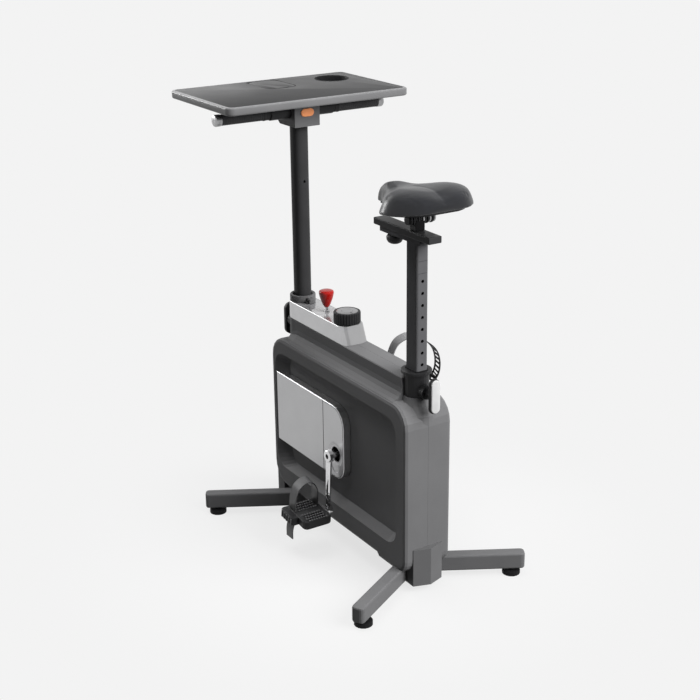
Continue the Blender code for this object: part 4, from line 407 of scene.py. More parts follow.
def settle(piece, body, slotName, replaced=(), smoothAngle=35, look=None):
    # applies what is left, smooths, and hands the finished piece to its body
    takeAlone(piece)
    for modifier in list(piece.modifiers):
        bpy.ops.object.modifier_apply(modifier=modifier.name)
    bpy.ops.object.transform_apply()
    bpy.ops.object.shade_smooth_by_angle(angle=math.radians(smoothAngle))
    piece.data.materials.clear()
    piece.data.materials.append(finishes[look or slotName])
    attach(piece, body)
    if replaced:
        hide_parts(*replaced)


axisTurns = {"X": (0.0, math.pi / 2, 0.0), "Y": (-math.pi / 2, 0.0, 0.0), "Z": (0.0, 0.0, 0.0)}


def drawTurned(name, profile, place=(0, 0, 0), axis="Z", sides=64, ring=False):
    # a circle drawn out along its axis through (radius, height) pairs; a ring comes back to its start
    bpy.ops.object.select_all(action="DESELECT")
    radius, height = profile[0]
    bpy.ops.mesh.primitive_circle_add(
        vertices=sides, radius=radius, fill_type="NOTHING" if ring else "NGON", location=(0, 0, height),
    )
    piece = bpy.context.object
    piece.name = piece.data.name = name
    bpy.ops.object.mode_set(mode="EDIT")
    bpy.ops.mesh.select_all(action="SELECT")
    for (before, low), (after, high) in zip(profile, profile[1:]):
        bpy.ops.mesh.extrude_region_move(TRANSFORM_OT_translate={"value": (0, 0, high - low)})
        bpy.ops.transform.resize(value=(after / before, after / before, 1), center_override=(0, 0, high))
    bpy.ops.mesh.select_all(action="SELECT")
    if ring:
        bpy.ops.mesh.remove_doubles(threshold=0.00001)
    bpy.ops.mesh.normals_make_consistent(inside=False)
    bpy.ops.object.mode_set(mode="OBJECT")
    bpy.ops.object.transform_apply()
    piece.rotation_euler = axisTurns[axis]
    piece.location = place
    bpy.ops.object.transform_apply()
    return piece


def drawBlock(name, low, high, edge=0.0, segments=2):
    # a cube at its size and place, with its edges rounded
    low, high = Vector(low), Vector(high)
    bpy.ops.object.select_all(action="DESELECT")
    bpy.ops.mesh.primitive_cube_add(size=1, location=(low + high) / 2)
    piece = bpy.context.object
    piece.name = piece.data.name = name
    piece.scale = high - low
    bpy.ops.object.transform_apply()
    if edge:
        bpy.ops.object.mode_set(mode="EDIT")
        bpy.ops.mesh.select_all(action="SELECT")
        bpy.ops.mesh.bevel(offset=edge, segments=segments, affect="EDGES")
        bpy.ops.object.mode_set(mode="OBJECT")
    return piece


outlineTurns = {
    "X": Matrix(((0, 0, 1, 0), (1, 0, 0, 0), (0, 1, 0, 0), (0, 0, 0, 1))),
    "Y": Matrix(((0, 1, 0, 0), (0, 0, 1, 0), (1, 0, 0, 0), (0, 0, 0, 1))),
    "Z": Matrix.Identity(4),
}


def roundedOutline(lowU, highU, lowV, highV, radius, steps):
    # points round a box with rounded corners
    corners = (
        (highU - radius, highV - radius, 0), (lowU + radius, highV - radius, 90),
        (lowU + radius, lowV + radius, 180), (highU - radius, lowV + radius, 270),
    )
    points = []
    for u, v, start in corners:
        for step in range(steps + 1):
            turn = math.radians(start + 90 * step / steps)
            points.append((u + radius * math.cos(turn), v + radius * math.sin(turn)))
    return points


def drawPlate(name, outline, low, high, axis="Z", edge=0.0, segments=3):
    # a disc with its corners set on the outline, drawn out to its thickness, with its rims rounded
    bpy.ops.object.select_all(action="DESELECT")
    bpy.ops.mesh.primitive_circle_add(vertices=len(outline), radius=1.0, fill_type="NGON")
    piece = bpy.context.object
    piece.name = piece.data.name = name
    for vertex, (u, v) in zip(piece.data.vertices, outline):
        vertex.co = (u, v, low)
    bpy.ops.object.mode_set(mode="EDIT")
    bpy.ops.mesh.select_all(action="SELECT")
    bpy.ops.mesh.extrude_region_move(TRANSFORM_OT_translate={"value": (0, 0, high - low)})
    bpy.ops.mesh.select_all(action="SELECT")
    bpy.ops.mesh.normals_make_consistent(inside=False)
    bpy.ops.object.mode_set(mode="OBJECT")
    piece.matrix_world = outlineTurns[axis]
    bpy.ops.object.transform_apply()
    if edge:
        soften = piece.modifiers.new("edge", "BEVEL")
        soften.width, soften.segments, soften.angle_limit = edge, segments, math.radians(50)
        bpy.ops.object.modifier_apply(modifier="edge")
    return piece


def carve(piece, cutters):
    # takes the cutters out of the piece, and deletes them
    for cutter in cutters:
        takeAlone(piece)
        hollow = piece.modifiers.new("hollow", "BOOLEAN")
        hollow.operation, hollow.solver, hollow.object = "DIFFERENCE", "EXACT", cutter
        bpy.ops.object.modifier_apply(modifier="hollow")
        bpy.data.objects.remove(cutter, do_unlink=True)


def smoothPath(points, samples):
    # a curve through the points, straight on at both ends
    points = [Vector(point) for point in points]
    padded = [points[0] * 2 - points[1]] + points + [points[-1] * 2 - points[-2]]
    path = []
    for a, b, c, d in zip(padded, padded[1:], padded[2:], padded[3:]):
        for sample in range(samples):
            t = sample / samples
            bend = (a * 2 - b * 5 + c * 4 - d) * t ** 2 + (b * 3 - a - c * 3 + d) * t ** 3
            path.append((b * 2 + (c - a) * t + bend) / 2)
    return path + [points[-1]]


def drawStrap(name, points, width, thickness, holes, samples=8, columns=6):
    # a grid bent along the path, with ladder holes taken out of a stretch, then given its thickness
    path = smoothPath(points, samples)
    bpy.ops.object.select_all(action="DESELECT")
    bpy.ops.mesh.primitive_grid_add(x_subdivisions=len(path) - 1, y_subdivisions=columns, size=1)
    piece = bpy.context.object
    piece.name = piece.data.name = name
    for index, vertex in enumerate(piece.data.vertices):
        row, column = divmod(index, len(path))
        along = (path[min(column + 1, len(path) - 1)] - path[max(column - 1, 0)]).normalized()
        across = (Vector((0, 1, 0)) - along * along.y).normalized()
        vertex.co = path[column] + across * width * (row / columns - 0.5)
    if holes:
        first, last = holes
        bpy.ops.object.mode_set(mode="EDIT")
        bpy.ops.mesh.select_mode(type="FACE")
        bpy.ops.mesh.select_all(action="DESELECT")
        bpy.ops.object.mode_set(mode="OBJECT")
        for face in piece.data.polygons:
            row, column = divmod(face.index, len(path) - 1)
            face.select = 1 <= row <= columns - 2 and first <= column < last and column % 3 != 0
        bpy.ops.object.mode_set(mode="EDIT")
        bpy.ops.mesh.delete(type="FACE")
        bpy.ops.mesh.select_mode(type="VERT")
        bpy.ops.object.mode_set(mode="OBJECT")
    takeAlone(piece)
    solid = piece.modifiers.new("solid", "SOLIDIFY")
    solid.thickness, solid.offset = thickness, 0.0
    bpy.ops.object.modifier_apply(modifier="solid")
    bpy.ops.object.mode_set(mode="EDIT")
    bpy.ops.mesh.select_all(action="SELECT")
    bpy.ops.mesh.normals_make_consistent(inside=False)
    bpy.ops.object.mode_set(mode="OBJECT")
    return piece


def joinInto(piece, others):
    takeAlone(piece)
    for other in others:
        other.select_set(True)
    bpy.ops.object.join()


# Saddle: a crowned vinyl pad with a shallow channel behind, over a thin moulded base
saddle = {
    # y and z of the underside at the nose, and its rise per metre to the rear
    "noseBottom": (-0.139, 0.9491),
    "slope": 0.0947,
    # y, half width and crown of each rib
    "ribs": [
        (-0.1569, 0.0123, 0.0173), (-0.1606, 0.0154, 0.0296), (-0.1736, 0.0152, 0.0404),
        (-0.1941, 0.0231, 0.0497), (-0.2202, 0.0364, 0.0487), (-0.2500, 0.0558, 0.0436),
        (-0.2850, 0.0896, 0.0449), (-0.3200, 0.1201, 0.0505), (-0.3522, 0.1220, 0.0505),
        (-0.3834, 0.1054, 0.0443), (-0.4057, 0.0809, 0.0359), (-0.4179, 0.0511, 0.0242),
    ],
    # half of a rib's outline, in shares of its half width and its crown
    "section": [
        (0.93, 0.0), (0.99, 0.0), (1.0, 0.06), (0.9226, 0.46), (0.8761, 0.776), (0.68, 1.01), (0.28, 1.02),
    ],
    # the sewn channel: where it starts, its share of the crown, and its depth and width in the cloth
    "channelStart": -0.29,
    "channelDepth": 0.16,
    "crease": (0.0012, 0.004),
    # the base: its depth below and lap above the pad's underside, and its outline's shares and shift
    "baseDepth": 0.004,
    "baseLap": 0.003,
    "baseShare": (0.80, 0.92),
    "baseShift": -0.0235,
    # cloth: voxel, drawing in, height of the held rim, pressure, frames and the most that a point moves
    "voxel": 0.0045,
    "shrink": 0.0004,
    "held": 0.0035,
    "pressure": 4.0,
    "frames": 20,
    "cap": 0.0022,
}


def puffPad(piece, s):
    # the pad is drawn in a little, then swells as a skin under pressure, with its underside held
    takeAlone(piece)
    skin = piece.modifiers.new("skin", "REMESH")
    skin.mode, skin.voxel_size = "VOXEL", s["voxel"]
    bpy.ops.object.modifier_apply(modifier="skin")
    startY, startZ = s["noseBottom"]
    held = piece.vertex_groups.new(name="held")
    inward = [vertex.normal * s["shrink"] for vertex in piece.data.vertices]
    for vertex, step in zip(piece.data.vertices, inward):
        bottom = startZ + (startY - vertex.co.y) * s["slope"]
        if vertex.co.z < bottom + s["held"]:
            held.add([vertex.index], 1.0, "REPLACE")
            step.z = 0.0
        vertex.co -= step
    before = [vertex.co.copy() for vertex in piece.data.vertices]
    cloth = piece.modifiers.new("swell", "CLOTH")
    cloth.settings.use_pressure = True
    cloth.settings.uniform_pressure_force = s["pressure"]
    cloth.settings.vertex_group_mass = "held"
    cloth.settings.effector_weights.gravity = 0.0
    for frameNumber in range(1, s["frames"] + 1):
        bpy.context.scene.frame_set(frameNumber)
    bpy.ops.object.modifier_apply(modifier="swell")
    bpy.context.scene.frame_set(1)
    for vertex, start in zip(piece.data.vertices, before):
        move = vertex.co - start
        if move.length > s["cap"]:
            vertex.co = start + move.normalized() * s["cap"]
    piece.vertex_groups.clear()
    # the channel is pressed in again after the swelling
    depth, width = s["crease"]
    for vertex in piece.data.vertices:
        if vertex.co.y < s["channelStart"] and vertex.normal.z > 0.4:
            vertex.co.z -= depth * math.exp(-(vertex.co.x / width) ** 2)
    finer = piece.modifiers.new("finer", "SUBSURF")
    finer.levels = finer.render_levels = 1
    bpy.ops.object.modifier_apply(modifier="finer")


def buildSaddle(s):
    mesh = bpy.data.meshes.new("saddlePad")
    piece = bpy.data.objects.new("saddlePad", mesh)
    bpy.context.scene.collection.objects.link(piece)
    shape = bmesh.new()
    startY, startZ = s["noseBottom"]
    loops = []
    for y, half, crown in s["ribs"]:
        bottom = startZ + (startY - y) * s["slope"]
        dip = s["channelDepth"] if y < s["channelStart"] else 0.0
        side = [(half * across, bottom + crown * up) for across, up in s["section"]]
        crest = (0.0, bottom + crown * (1.03 - dip))
        points = [(0.0, bottom)] + side + [crest] + [(-x, z) for x, z in reversed(side)]
        loops.append([shape.verts.new((x, y, z)) for x, z in points])
    for near, far in zip(loops, loops[1:]):
        for index in range(len(near)):
            after = (index + 1) % len(near)
            shape.faces.new((near[index], near[after], far[after], far[index]))
    shape.faces.new(loops[0])
    shape.faces.new(loops[-1])
    bmesh.ops.recalc_face_normals(shape, faces=shape.faces)
    shape.to_mesh(mesh)
    shape.free()
    takeAlone(piece)
    soften = piece.modifiers.new("soften", "SUBSURF")
    soften.levels = soften.render_levels = 3
    bpy.ops.object.modifier_apply(modifier="soften")
    puffPad(piece, s)
    settle(piece, "saddle", "saddle_cover", ("saddle_pad",), smoothAngle=80)
    # the base is drawn in under the pad and closes the gap to the clamp
    shareX, shareY = s["baseShare"]
    outline = [(half * shareX, y * shareY + s["baseShift"]) for y, half, crown in s["ribs"]]
    outline += [(-x, y) for x, y in reversed(outline)]
    base = drawPlate("saddleBase", outline, -s["baseDepth"], s["baseLap"])
    for vertex in base.data.vertices:
        vertex.co.z += startZ + (startY - vertex.co.y) * s["slope"]
    settle(base, "saddle", "black_plastic", ("saddle_shell",))


buildSaddle(saddle)
print("saddle done")


# Stop knob: red funnel on its neck
stopKnob = {"y": 0.106, "top": 0.656, "radius": 0.0198, "coneFoot": 0.611, "rod": 0.004, "rodFoot": 0.600}


def buildStopKnob(s):
    top, radius = s["top"], s["radius"]
    profile = [
        (s["rod"], s["rodFoot"]), (s["rod"], s["coneFoot"]), (s["rod"] + 0.002, s["coneFoot"] + 0.0005),
        (radius * 0.50, s["coneFoot"] + 0.007), (radius * 0.70, top - 0.029), (radius * 0.86, top - 0.020),
        (radius * 0.955, top - 0.012), (radius, top - 0.0065), (radius * 0.985, top - 0.004),
        (radius * 0.93, top - 0.0018), (radius * 0.80, top - 0.0006), (radius * 0.4, top),
        (radius * 0.02, top),
    ]
    knob = drawTurned("stopKnobHead", profile, (0, s["y"], 0), sides=48)
    settle(knob, "stop_knob", "red_plastic", smoothAngle=50)


buildStopKnob(stopKnob)

# Resistance dial: knurled rim, raised ring on its grey top
dial = {"y": 0.005, "radius": 0.035, "base": 0.5985, "top": 0.628, "flutes": 30, "fluteDepth": 0.0022}


def buildDial(s):
    r = s["radius"]
    profile = [
        (r - 0.003, s["base"]), (r - 0.0012, s["base"] + 0.0004), (r, s["base"] + 0.0016),
        (r, s["top"] - 0.0030), (r - 0.0011, s["top"] - 0.0010), (r - 0.0028, s["top"] - 0.0002),
        (r - 0.0045, s["top"]), (r - 0.0060, s["top"] - 0.0009), (r * 0.42, s["top"] - 0.0009),
        (r * 0.40, s["top"] - 0.0002), (r * 0.36, s["top"] - 0.0002), (r * 0.34, s["top"] - 0.0012),
        (r * 0.02, s["top"] - 0.0012),
    ]
    piece = drawTurned("dialKnurled", profile, (0, s["y"], 0), sides=s["flutes"] * 8)
    for vertex in piece.data.vertices:
        reach = Vector((vertex.co.x, vertex.co.y - s["y"]))
        if reach.length > r - 0.0005:
            turn = math.atan2(reach.y, reach.x)
            cutIn = s["fluteDepth"] * (0.5 - 0.5 * math.cos(turn * s["flutes"])) ** 3
            vertex.co.x -= reach.x / reach.length * cutIn
            vertex.co.y -= reach.y / reach.length * cutIn
    settle(piece, "dial", "black_plastic", ("dial",), smoothAngle=40)


buildDial(dial)
print("controls done")

# Mast: an oval tube whose rear face has one stop hole
mast = {
    "y": 0.2295, "half": (0.0212, 0.0230), "squareness": 2.6, "foot": 0.56, "top": 1.0838, "sides": 72,
    "hole": 0.924, "holeRadius": 0.004,
}


def buildMast(s):
    outline = []
    halfX, halfY = s["half"]
    power = 2 / s["squareness"]
    for step in range(s["sides"]):
        turn = math.tau * step / s["sides"]
        across, along = math.cos(turn), math.sin(turn)
        x = math.copysign(abs(across) ** power, across) * halfX
        outline.append((x, s["y"] + math.copysign(abs(along) ** power, along) * halfY))
    tube = drawPlate("mastOval", outline, s["foot"], s["top"])
    radius, place = s["holeRadius"], (0, s["y"] - halfY, s["hole"])
    drill = drawTurned("drill", [(radius, -0.004), (radius, 0.006)], place, "Y", 24)
    carve(tube, [drill])
    settle(tube, "mast", "black_steel", ("mast_tube",), smoothAngle=40)


buildMast(mast)

# Handlebar: a sleeve with turned rings, ribbed grips and silver end caps, each with its radius and its reach
# from the middle
bar = {
    "y": 0.218, "z": 1.107, "sleeve": (0.0165, 0.092), "ring": (0.0146, 0.106), "grip": (0.0140, 0.2295),
    "cap": (0.0150, 0.2465), "ribs": 18,
}


def buildBar(s):
    place = (0, s["y"], s["z"])
    radius, half = s["sleeve"]
    ringRadius, ringEnd = s["ring"]
    neck = ringRadius - 0.0012
    rightHalf = [
        (radius, half - 0.0008), (radius - 0.0012, half + 0.0008), (neck, half + 0.0008),
        (neck, half + 0.0030), (ringRadius, half + 0.0035), (ringRadius, ringEnd), (0.010, ringEnd),
    ]
    leftHalf = [(r, -h) for r, h in reversed(rightHalf)]
    core = drawTurned("barSleeve", leftHalf + rightHalf, place, "X", 48)
    settle(core, "mast", "black_steel", ("handlebar",), smoothAngle=30)
    gripRadius, gripEnd = s["grip"]
    capRadius, capEnd = s["cap"]
    for side, hand in ((-1, "left"), (1, "right")):
        lip = gripRadius + 0.0012
        profile = [(0.008, ringEnd), (lip, ringEnd + 0.0003), (lip, ringEnd + 0.004)]
        pitch = (gripEnd - ringEnd - 0.008) / s["ribs"]
        for index in range(s["ribs"]):
            start = ringEnd + 0.006 + pitch * index
            profile += [
                (gripRadius - 0.0006, start), (gripRadius, start + pitch * 0.25),
                (gripRadius, start + pitch * 0.75),
            ]
        profile += [(gripRadius, gripEnd - 0.0005), (0.008, gripEnd - 0.0003)]
        grip = drawTurned("gripRibbed." + hand, [(r, side * h) for r, h in profile], place, "X", 40)
        settle(grip, "mast", "black_rubber", ("grip_" + hand,), smoothAngle=40, look="grip_rubber")
        profile = [
            (0.008, gripEnd), (capRadius - 0.0004, gripEnd + 0.0001), (capRadius, gripEnd + 0.0012),
            (capRadius, capEnd - 0.0035), (capRadius - 0.0012, capEnd - 0.0010), (capRadius - 0.0032, capEnd),
            (0.004, capEnd), (0.0035, capEnd - 0.0008), (0.0005, capEnd - 0.0008),
        ]
        cap = drawTurned("barCap." + hand, [(r, side * h) for r, h in profile], place, "X", 48)
        settle(cap, "mast", "bright_steel", smoothAngle=40, look="zinc")


buildBar(bar)
print("mast and bar done")

# Desk: a rimmed tray with rounded edges, a sunk mat with a cup well, and a flap in a slot of the mat
desk = {
    "half": 0.261, "rear": 0.1065, "front": 0.4385, "top": 1.155, "thickness": 0.020, "corner": 0.020,
    "rim": 0.0075, "sink": 0.0016, "edge": 0.0042, "cup": (0.176, 0.353, 0.0437),
    # left, right, rear and front of the flap, the slit round it, and how far its slot runs on in front
    "flap": (-0.048, 0.040, 0.293, 0.4227), "flapCorner": 0.026, "slit": 0.0015, "slotReach": 0.012,
    "notch": (-0.020, 0.012, 0.0055),
}


def deskOutline(s, margin):
    # the desk's outline, drawn in by a margin
    return roundedOutline(
        margin - s["half"], s["half"] - margin, s["rear"] + margin, s["front"] - margin,
        s["corner"] - margin * 0.7, 10,
    )


def buildDesk(s):
    low = s["top"] - s["thickness"]
    tray = drawPlate("deskTrayShell", deskOutline(s, 0.0), low, s["top"], edge=s["edge"], segments=4)
    cupX, cupY, cupRadius = s["cup"]
    cupPlace = (cupX, cupY, s["top"])
    carve(tray, [
        drawPlate("cutter", deskOutline(s, s["rim"]), s["top"] - s["sink"], s["top"] + 0.01),
        drawTurned("cutter", [(cupRadius - 0.0015, -0.05), (cupRadius - 0.0015, 0.02)], cupPlace),
    ])
    settle(tray, "desk", "desk_plastic", ("desk_tray",))
    matOutline = deskOutline(s, s["rim"] + 0.0012)
    matLow, matHigh = s["top"] - s["sink"] + 0.0001, s["top"] - 0.0004
    mat = drawPlate("deskMatSheet", matOutline, matLow, matHigh, edge=0.0004, segments=2)
    left, right, rear, front = s["flap"]
    slit, corner = s["slit"], s["flapCorner"]
    flapCut = roundedOutline(left - slit, right + slit, rear - slit, front + s["slotReach"], corner, 10)
    carve(mat, [
        drawTurned("cutter", [(cupRadius + 0.0030, -0.02), (cupRadius + 0.0030, 0.02)], cupPlace),
        drawPlate("cutter", flapCut, s["top"] - 0.01, s["top"] + 0.01),
    ])
    settle(mat, "desk", "mat_plastic", ("desk_mat",))
    # a dark bed under the flap, a little smaller than the cut in the mat
    slit, reach, floor = slit - 0.0003, s["slotReach"] - 0.0005, s["top"] - s["sink"]
    bedOutline = roundedOutline(left - slit, right + slit, rear - slit, front + reach, corner, 10)
    slotBed = drawPlate("slotBed", bedOutline, floor + 0.0001, floor + 0.0004)
    settle(slotBed, "desk", "mat_plastic", look="black_rubber")
    # the cup's lip, its inside down to the floor, and its outside back up
    r = cupRadius
    cup = drawTurned("cupWell", [
        (r + 0.0026, -0.0012), (r + 0.0026, 0.0), (r + 0.0014, 0.0009), (r - 0.0002, 0.0006),
        (r - 0.0016, -0.0012), (r - 0.0018, -0.036), (r - 0.0045, -0.0385), (r - 0.010, -0.039),
        (0.012, -0.0385), (0.0005, -0.0385), (0.0005, -0.040), (r - 0.010, -0.0402),
        (r - 0.0035, -0.0395), (r - 0.0005, -0.036), (r - 0.0003, -0.0012), (r + 0.0026, -0.0012),
    ], cupPlace, "Z", 72, ring=True)
    settle(cup, "desk", "black_plastic", ("cup_holder",), smoothAngle=40, look="black_rubber")
    flapOutline = roundedOutline(left + 0.0004, right - 0.0004, rear + 0.0004, front, corner + 0.0005, 12)
    flap = drawPlate("flapPlate", flapOutline, s["top"] - 0.0042, s["top"] - 0.0004, edge=0.0006, segments=2)
    notchLeft, notchRight, notchDeep = s["notch"]
    notchOutline = roundedOutline(notchLeft, notchRight, rear - 0.02, rear + notchDeep, 0.005, 5)
    notch = drawPlate("cutter", notchOutline, s["top"] - 0.01, s["top"] + 0.01)
    carve(flap, [notch])
    settle(flap, "tablet_flap", "mat_plastic", ("tablet_flap",))


buildDesk(desk)
print("desk done")

# Console fittings: the knob's stem, the dial's ring and mark, and the mast's collar with its lug and bolt
console = {
    "knobY": 0.106, "dialY": 0.005, "deck": 0.597, "dialTop": 0.6268,
    # radius and height over the deck, and over the dial's top
    "stem": [
        (0.0070, 0.0), (0.0074, 0.0004), (0.0074, 0.0032), (0.0064, 0.0042), (0.0044, 0.0044),
        (0.0044, 0.0138), (0.0010, 0.0140),
    ],
    "ring": [
        (0.0278, 0.0), (0.0278, 0.0008), (0.0268, 0.0012), (0.0150, 0.0012), (0.0142, 0.0006),
        (0.0134, 0.0012), (0.0010, 0.0013),
    ],
    "mark": (0.0012, -0.0265, -0.0165),
    # middle in Y, radius, top and bore
    "collar": (0.2295, 0.0345, 0.616, 0.0262),
    "boltHead": [
        (0.0030, -0.0115), (0.0046, -0.0112), (0.0050, -0.0104), (0.0050, -0.0088), (0.0032, -0.0086),
    ],
}


def buildConsole(s):
    stem = drawTurned("knobStem", s["stem"], (0, s["knobY"], s["deck"]), "Z", 40)
    settle(stem, "stop_knob", "bright_steel", look="zinc")
    top = drawTurned("dialTopRing", s["ring"], (0, s["dialY"], s["dialTop"]), "Z", 72)
    settle(top, "dial", "silver_plastic", smoothAngle=30)
    half, rear, front = s["mark"]
    low, high = s["dialTop"] + 0.0011, s["dialTop"] + 0.0016
    mark = drawBlock("dialMark", (-half, s["dialY"] + rear, low), (half, s["dialY"] + front, high), 0.0002)
    settle(mark, "dial", "black_plastic")
    y, radius, high, bore = s["collar"]
    low = s["deck"] + 0.0005
    collar = drawTurned("collarRing", [
        (bore, low), (radius, low), (radius, high - 0.0035), (radius - 0.0010, high - 0.0012),
        (radius - 0.0028, high - 0.0002), (radius - 0.0055, high - 0.0002), (bore, high - 0.0022),
        (bore, low),
    ], (0, y, 0), "Z", 80, ring=True)
    rear = y - radius
    lug = drawBlock(
        "collarLug", (-0.009, rear - 0.0165, low + 0.0003), (0.009, rear + 0.004, high - 0.0045), 0.0022, 3,
    )
    joinInto(collar, [lug])
    settle(collar, "base", "black_plastic", ("mast_collar",), look="grey_steel")
    bolt = drawTurned("collarBolt", s["boltHead"], (0, rear - 0.009, low + 0.009), "X", 24)
    settle(bolt, "base", "black_plastic")


buildConsole(console)
print("console fittings done")

# Clamp levers: the seat lever has a pale inlay in a black body, and the mast lever is ribbed. Each stem has
# its radius and its far end
lever = {
    "z": 0.523, "half": 0.0138, "reach": 0.044, "rear": -0.386, "front": -0.3733, "edge": 0.0024,
    "stem": (0.0088, -0.3534), "lip": 0.0022, "thinLip": 0.0008,
}
ribbedLever = {
    "z": 0.525, "half": 0.018, "reach": 0.045, "rear": 0.293, "front": 0.309, "edge": 0.0024,
    "stem": (0.0088, 0.2875), "ribs": 7, "rib": (0.0150, 0.006, 0.0028), "ribStart": 0.014,
}


def stadiumOutline(lowU, highU, lowV, highV):
    return roundedOutline(lowU, highU, lowV, highV, min(highU - lowU, highV - lowV) / 2 - 0.0001, 10)


def buildLevers(s, r):
    outline = stadiumOutline(s["z"] - s["reach"], s["z"] + s["reach"], -s["half"], s["half"])
    body = drawPlate("leverBody", outline, s["rear"] + 0.0035, s["front"], "Y", edge=s["edge"])
    radius, end = s["stem"]
    stem = drawTurned("leverStem", [(radius, end), (radius, s["front"] - 0.001)], (0, 0, s["z"]), "Y", 32)
    joinInto(body, [stem])
    settle(body, "seat_lever", "pale_plastic", ("seat_lever",), smoothAngle=40, look="black_plastic")
    lip, reach = s["lip"], s["reach"] - s["lip"]
    outline = stadiumOutline(s["z"] - reach, s["z"] + reach, -s["half"] + lip, s["half"] - s["thinLip"])
    inlay = drawPlate("leverInlay", outline, s["rear"], s["rear"] + 0.0065, "Y", edge=lip, segments=4)
    settle(inlay, "seat_lever", "pale_plastic", smoothAngle=50)
    outline = stadiumOutline(r["z"] - r["reach"], r["z"] + r["reach"], -r["half"], r["half"])
    body = drawPlate("ribbedLeverBody", outline, r["rear"], r["front"] - 0.003, "Y", edge=r["edge"])
    radius, end = r["stem"]
    parts = [drawTurned("ribbedStem", [(radius, end), (radius, r["rear"] + 0.002)], (0, 0, r["z"]), "Y", 32)]
    halfX, deep, halfZ = r["rib"]
    first = r["z"] - r["reach"] + r["ribStart"]
    pitch = (r["reach"] - r["ribStart"]) * 2 / (r["ribs"] - 1)
    for index in range(r["ribs"]):
        z = first + index * pitch
        near = (-halfX, r["front"] - deep, z - halfZ)
        parts.append(drawBlock("rib", near, (halfX, r["front"], z + halfZ), 0.0012, 2))
    joinInto(body, parts)
    settle(body, "mast_lever", "pale_plastic", ("mast_lever",), smoothAngle=40, look="black_plastic")


buildLevers(lever, ribbedLever)
print("levers done")

# Pedals: tread teeth between the slots, ribs on the block, and the straps with their buckles
pedal = {
    "y": -0.037, "z": {"left": 0.109, "right": 0.409}, "tilt": math.radians(7), "top": 0.011,
    "treadX": (0.1240, 0.1770),
    "treadY": (-0.0425, -0.0325, -0.0225, -0.0120, 0.0120, 0.0225, 0.0325, 0.0425),
    "teeth": 8, "tooth": (0.0022, 0.0019, 0.0024), "sunk": 0.0006, "rail": (0.1105, 0.0016, 0.040, 0.0014),
    "blockRibs": 5, "blockRib": (0.2085, 0.0012, 0.0018), "ribHeights": (-0.012, 0.007),
    "ribStart": -0.006, "ribPitch": 0.0115, "edge": 0.0006,
    "strapWidth": {"left": 0.031, "right": 0.025}, "strapThickness": 0.0026,
    "buckle": {"left": (0.1925, 0.028, -0.019), "right": (0.2265, -0.018, 0.013)},
    "buckleHalf": (0.0026, 0.0165, 0.005),
    # the stretch of the right strap that has ladder holes, in steps along its path
    "holes": {"left": (), "right": (39, 73)},
}
# points along each strap: outwards, forward and up from the pedal's axle
strapPaths = {
    "left": [
        (0.191, 0.024, -0.072), (0.190, 0.027, -0.045), (0.183, 0.028, -0.016), (0.183, 0.028, 0.011),
        (0.184, 0.028, 0.040), (0.178, 0.028, 0.068), (0.165, 0.028, 0.083), (0.148, 0.028, 0.088),
        (0.131, 0.028, 0.079), (0.120, 0.028, 0.058), (0.118, 0.028, 0.030), (0.118, 0.028, 0.011),
        (0.118, 0.028, -0.017),
    ],
    "right": [
        (0.187, 0.028, -0.036), (0.183, 0.028, -0.017), (0.183, 0.028, 0.011), (0.190, 0.026, 0.018),
        (0.207, 0.008, 0.017), (0.224, -0.016, 0.010), (0.231, -0.025, 0.030), (0.227, -0.031, 0.066),
        (0.210, -0.036, 0.104), (0.180, -0.038, 0.134), (0.145, -0.020, 0.152), (0.118, 0.006, 0.127),
        (0.110, 0.020, 0.080), (0.115, 0.028, 0.036), (0.118, 0.028, 0.011), (0.118, 0.028, -0.017),
    ],
}


def placePedal(piece, s, hand):
    takeAlone(piece)
    piece.location = (0, s["y"], s["z"][hand])
    piece.rotation_euler = (s["tilt"], 0, 0)
    bpy.ops.object.transform_apply()


def buildPedals(s):
    for side, hand in ((-1, "left"), (1, "right")):
        low, high = s["treadX"]
        halfX, halfY, tall = s["tooth"]
        foot = s["top"] - s["sunk"]
        teeth = []
        for row, y in enumerate(s["treadY"]):
            for index in range(s["teeth"]):
                # every second row is set half a step further
                x = side * (low + (high - low) * (index + 0.5 * (row % 2)) / (s["teeth"] - 0.5))
                near = (x - halfX, y - halfY, foot)
                far = (x + halfX, y + halfY, s["top"] + tall)
                teeth.append(drawBlock("tooth", near, far, s["edge"], 1))
        railX, halfX, halfY, tall = s["rail"]
        near = (side * railX - halfX, -halfY, foot)
        far = (side * railX + halfX, halfY, s["top"] + tall)
        teeth.append(drawBlock("frameRail", near, far, s["edge"]))
        ribX, halfX, halfY = s["blockRib"]
        ribLow, ribHigh = s["ribHeights"]
        for index in range(s["blockRibs"]):
            y = s["ribStart"] + index * s["ribPitch"]
            near = (side * ribX - halfX, y - halfY, ribLow)
            far = (side * ribX + halfX, y + halfY, ribHigh)
            teeth.append(drawBlock("blockRib", near, far, s["edge"], 1))
        treads = teeth[0]
        treads.name = treads.data.name = "pedalTreads." + hand
        joinInto(treads, teeth[1:])
        placePedal(treads, s, hand)
        settle(treads, "pedal_" + hand, "black_plastic", look="pedal_nylon")
        points = [(side * x, y, z) for x, y, z in strapPaths[hand]]
        width = s["strapWidth"][hand]
        strap = drawStrap("strapBand." + hand, points, width, s["strapThickness"], s["holes"][hand])
        placePedal(strap, s, hand)
        # the right strap's look holds painted light and painted shade
        look = "strap_polymer" if hand == "left" else "dark_strap"
        settle(strap, "pedal_" + hand, "black_rubber", ("pedal_strap_" + hand,), smoothAngle=40, look=look)
        across, along, up = s["buckle"][hand]
        middle, half = Vector((side * across, along, up)), Vector(s["buckleHalf"])
        buckle = drawBlock("strapBuckle." + hand, middle - half, middle + half, 0.0015)
        placePedal(buckle, s, hand)
        settle(buckle, "pedal_" + hand, "black_plastic")


buildPedals(pedal)
print("pedals done")

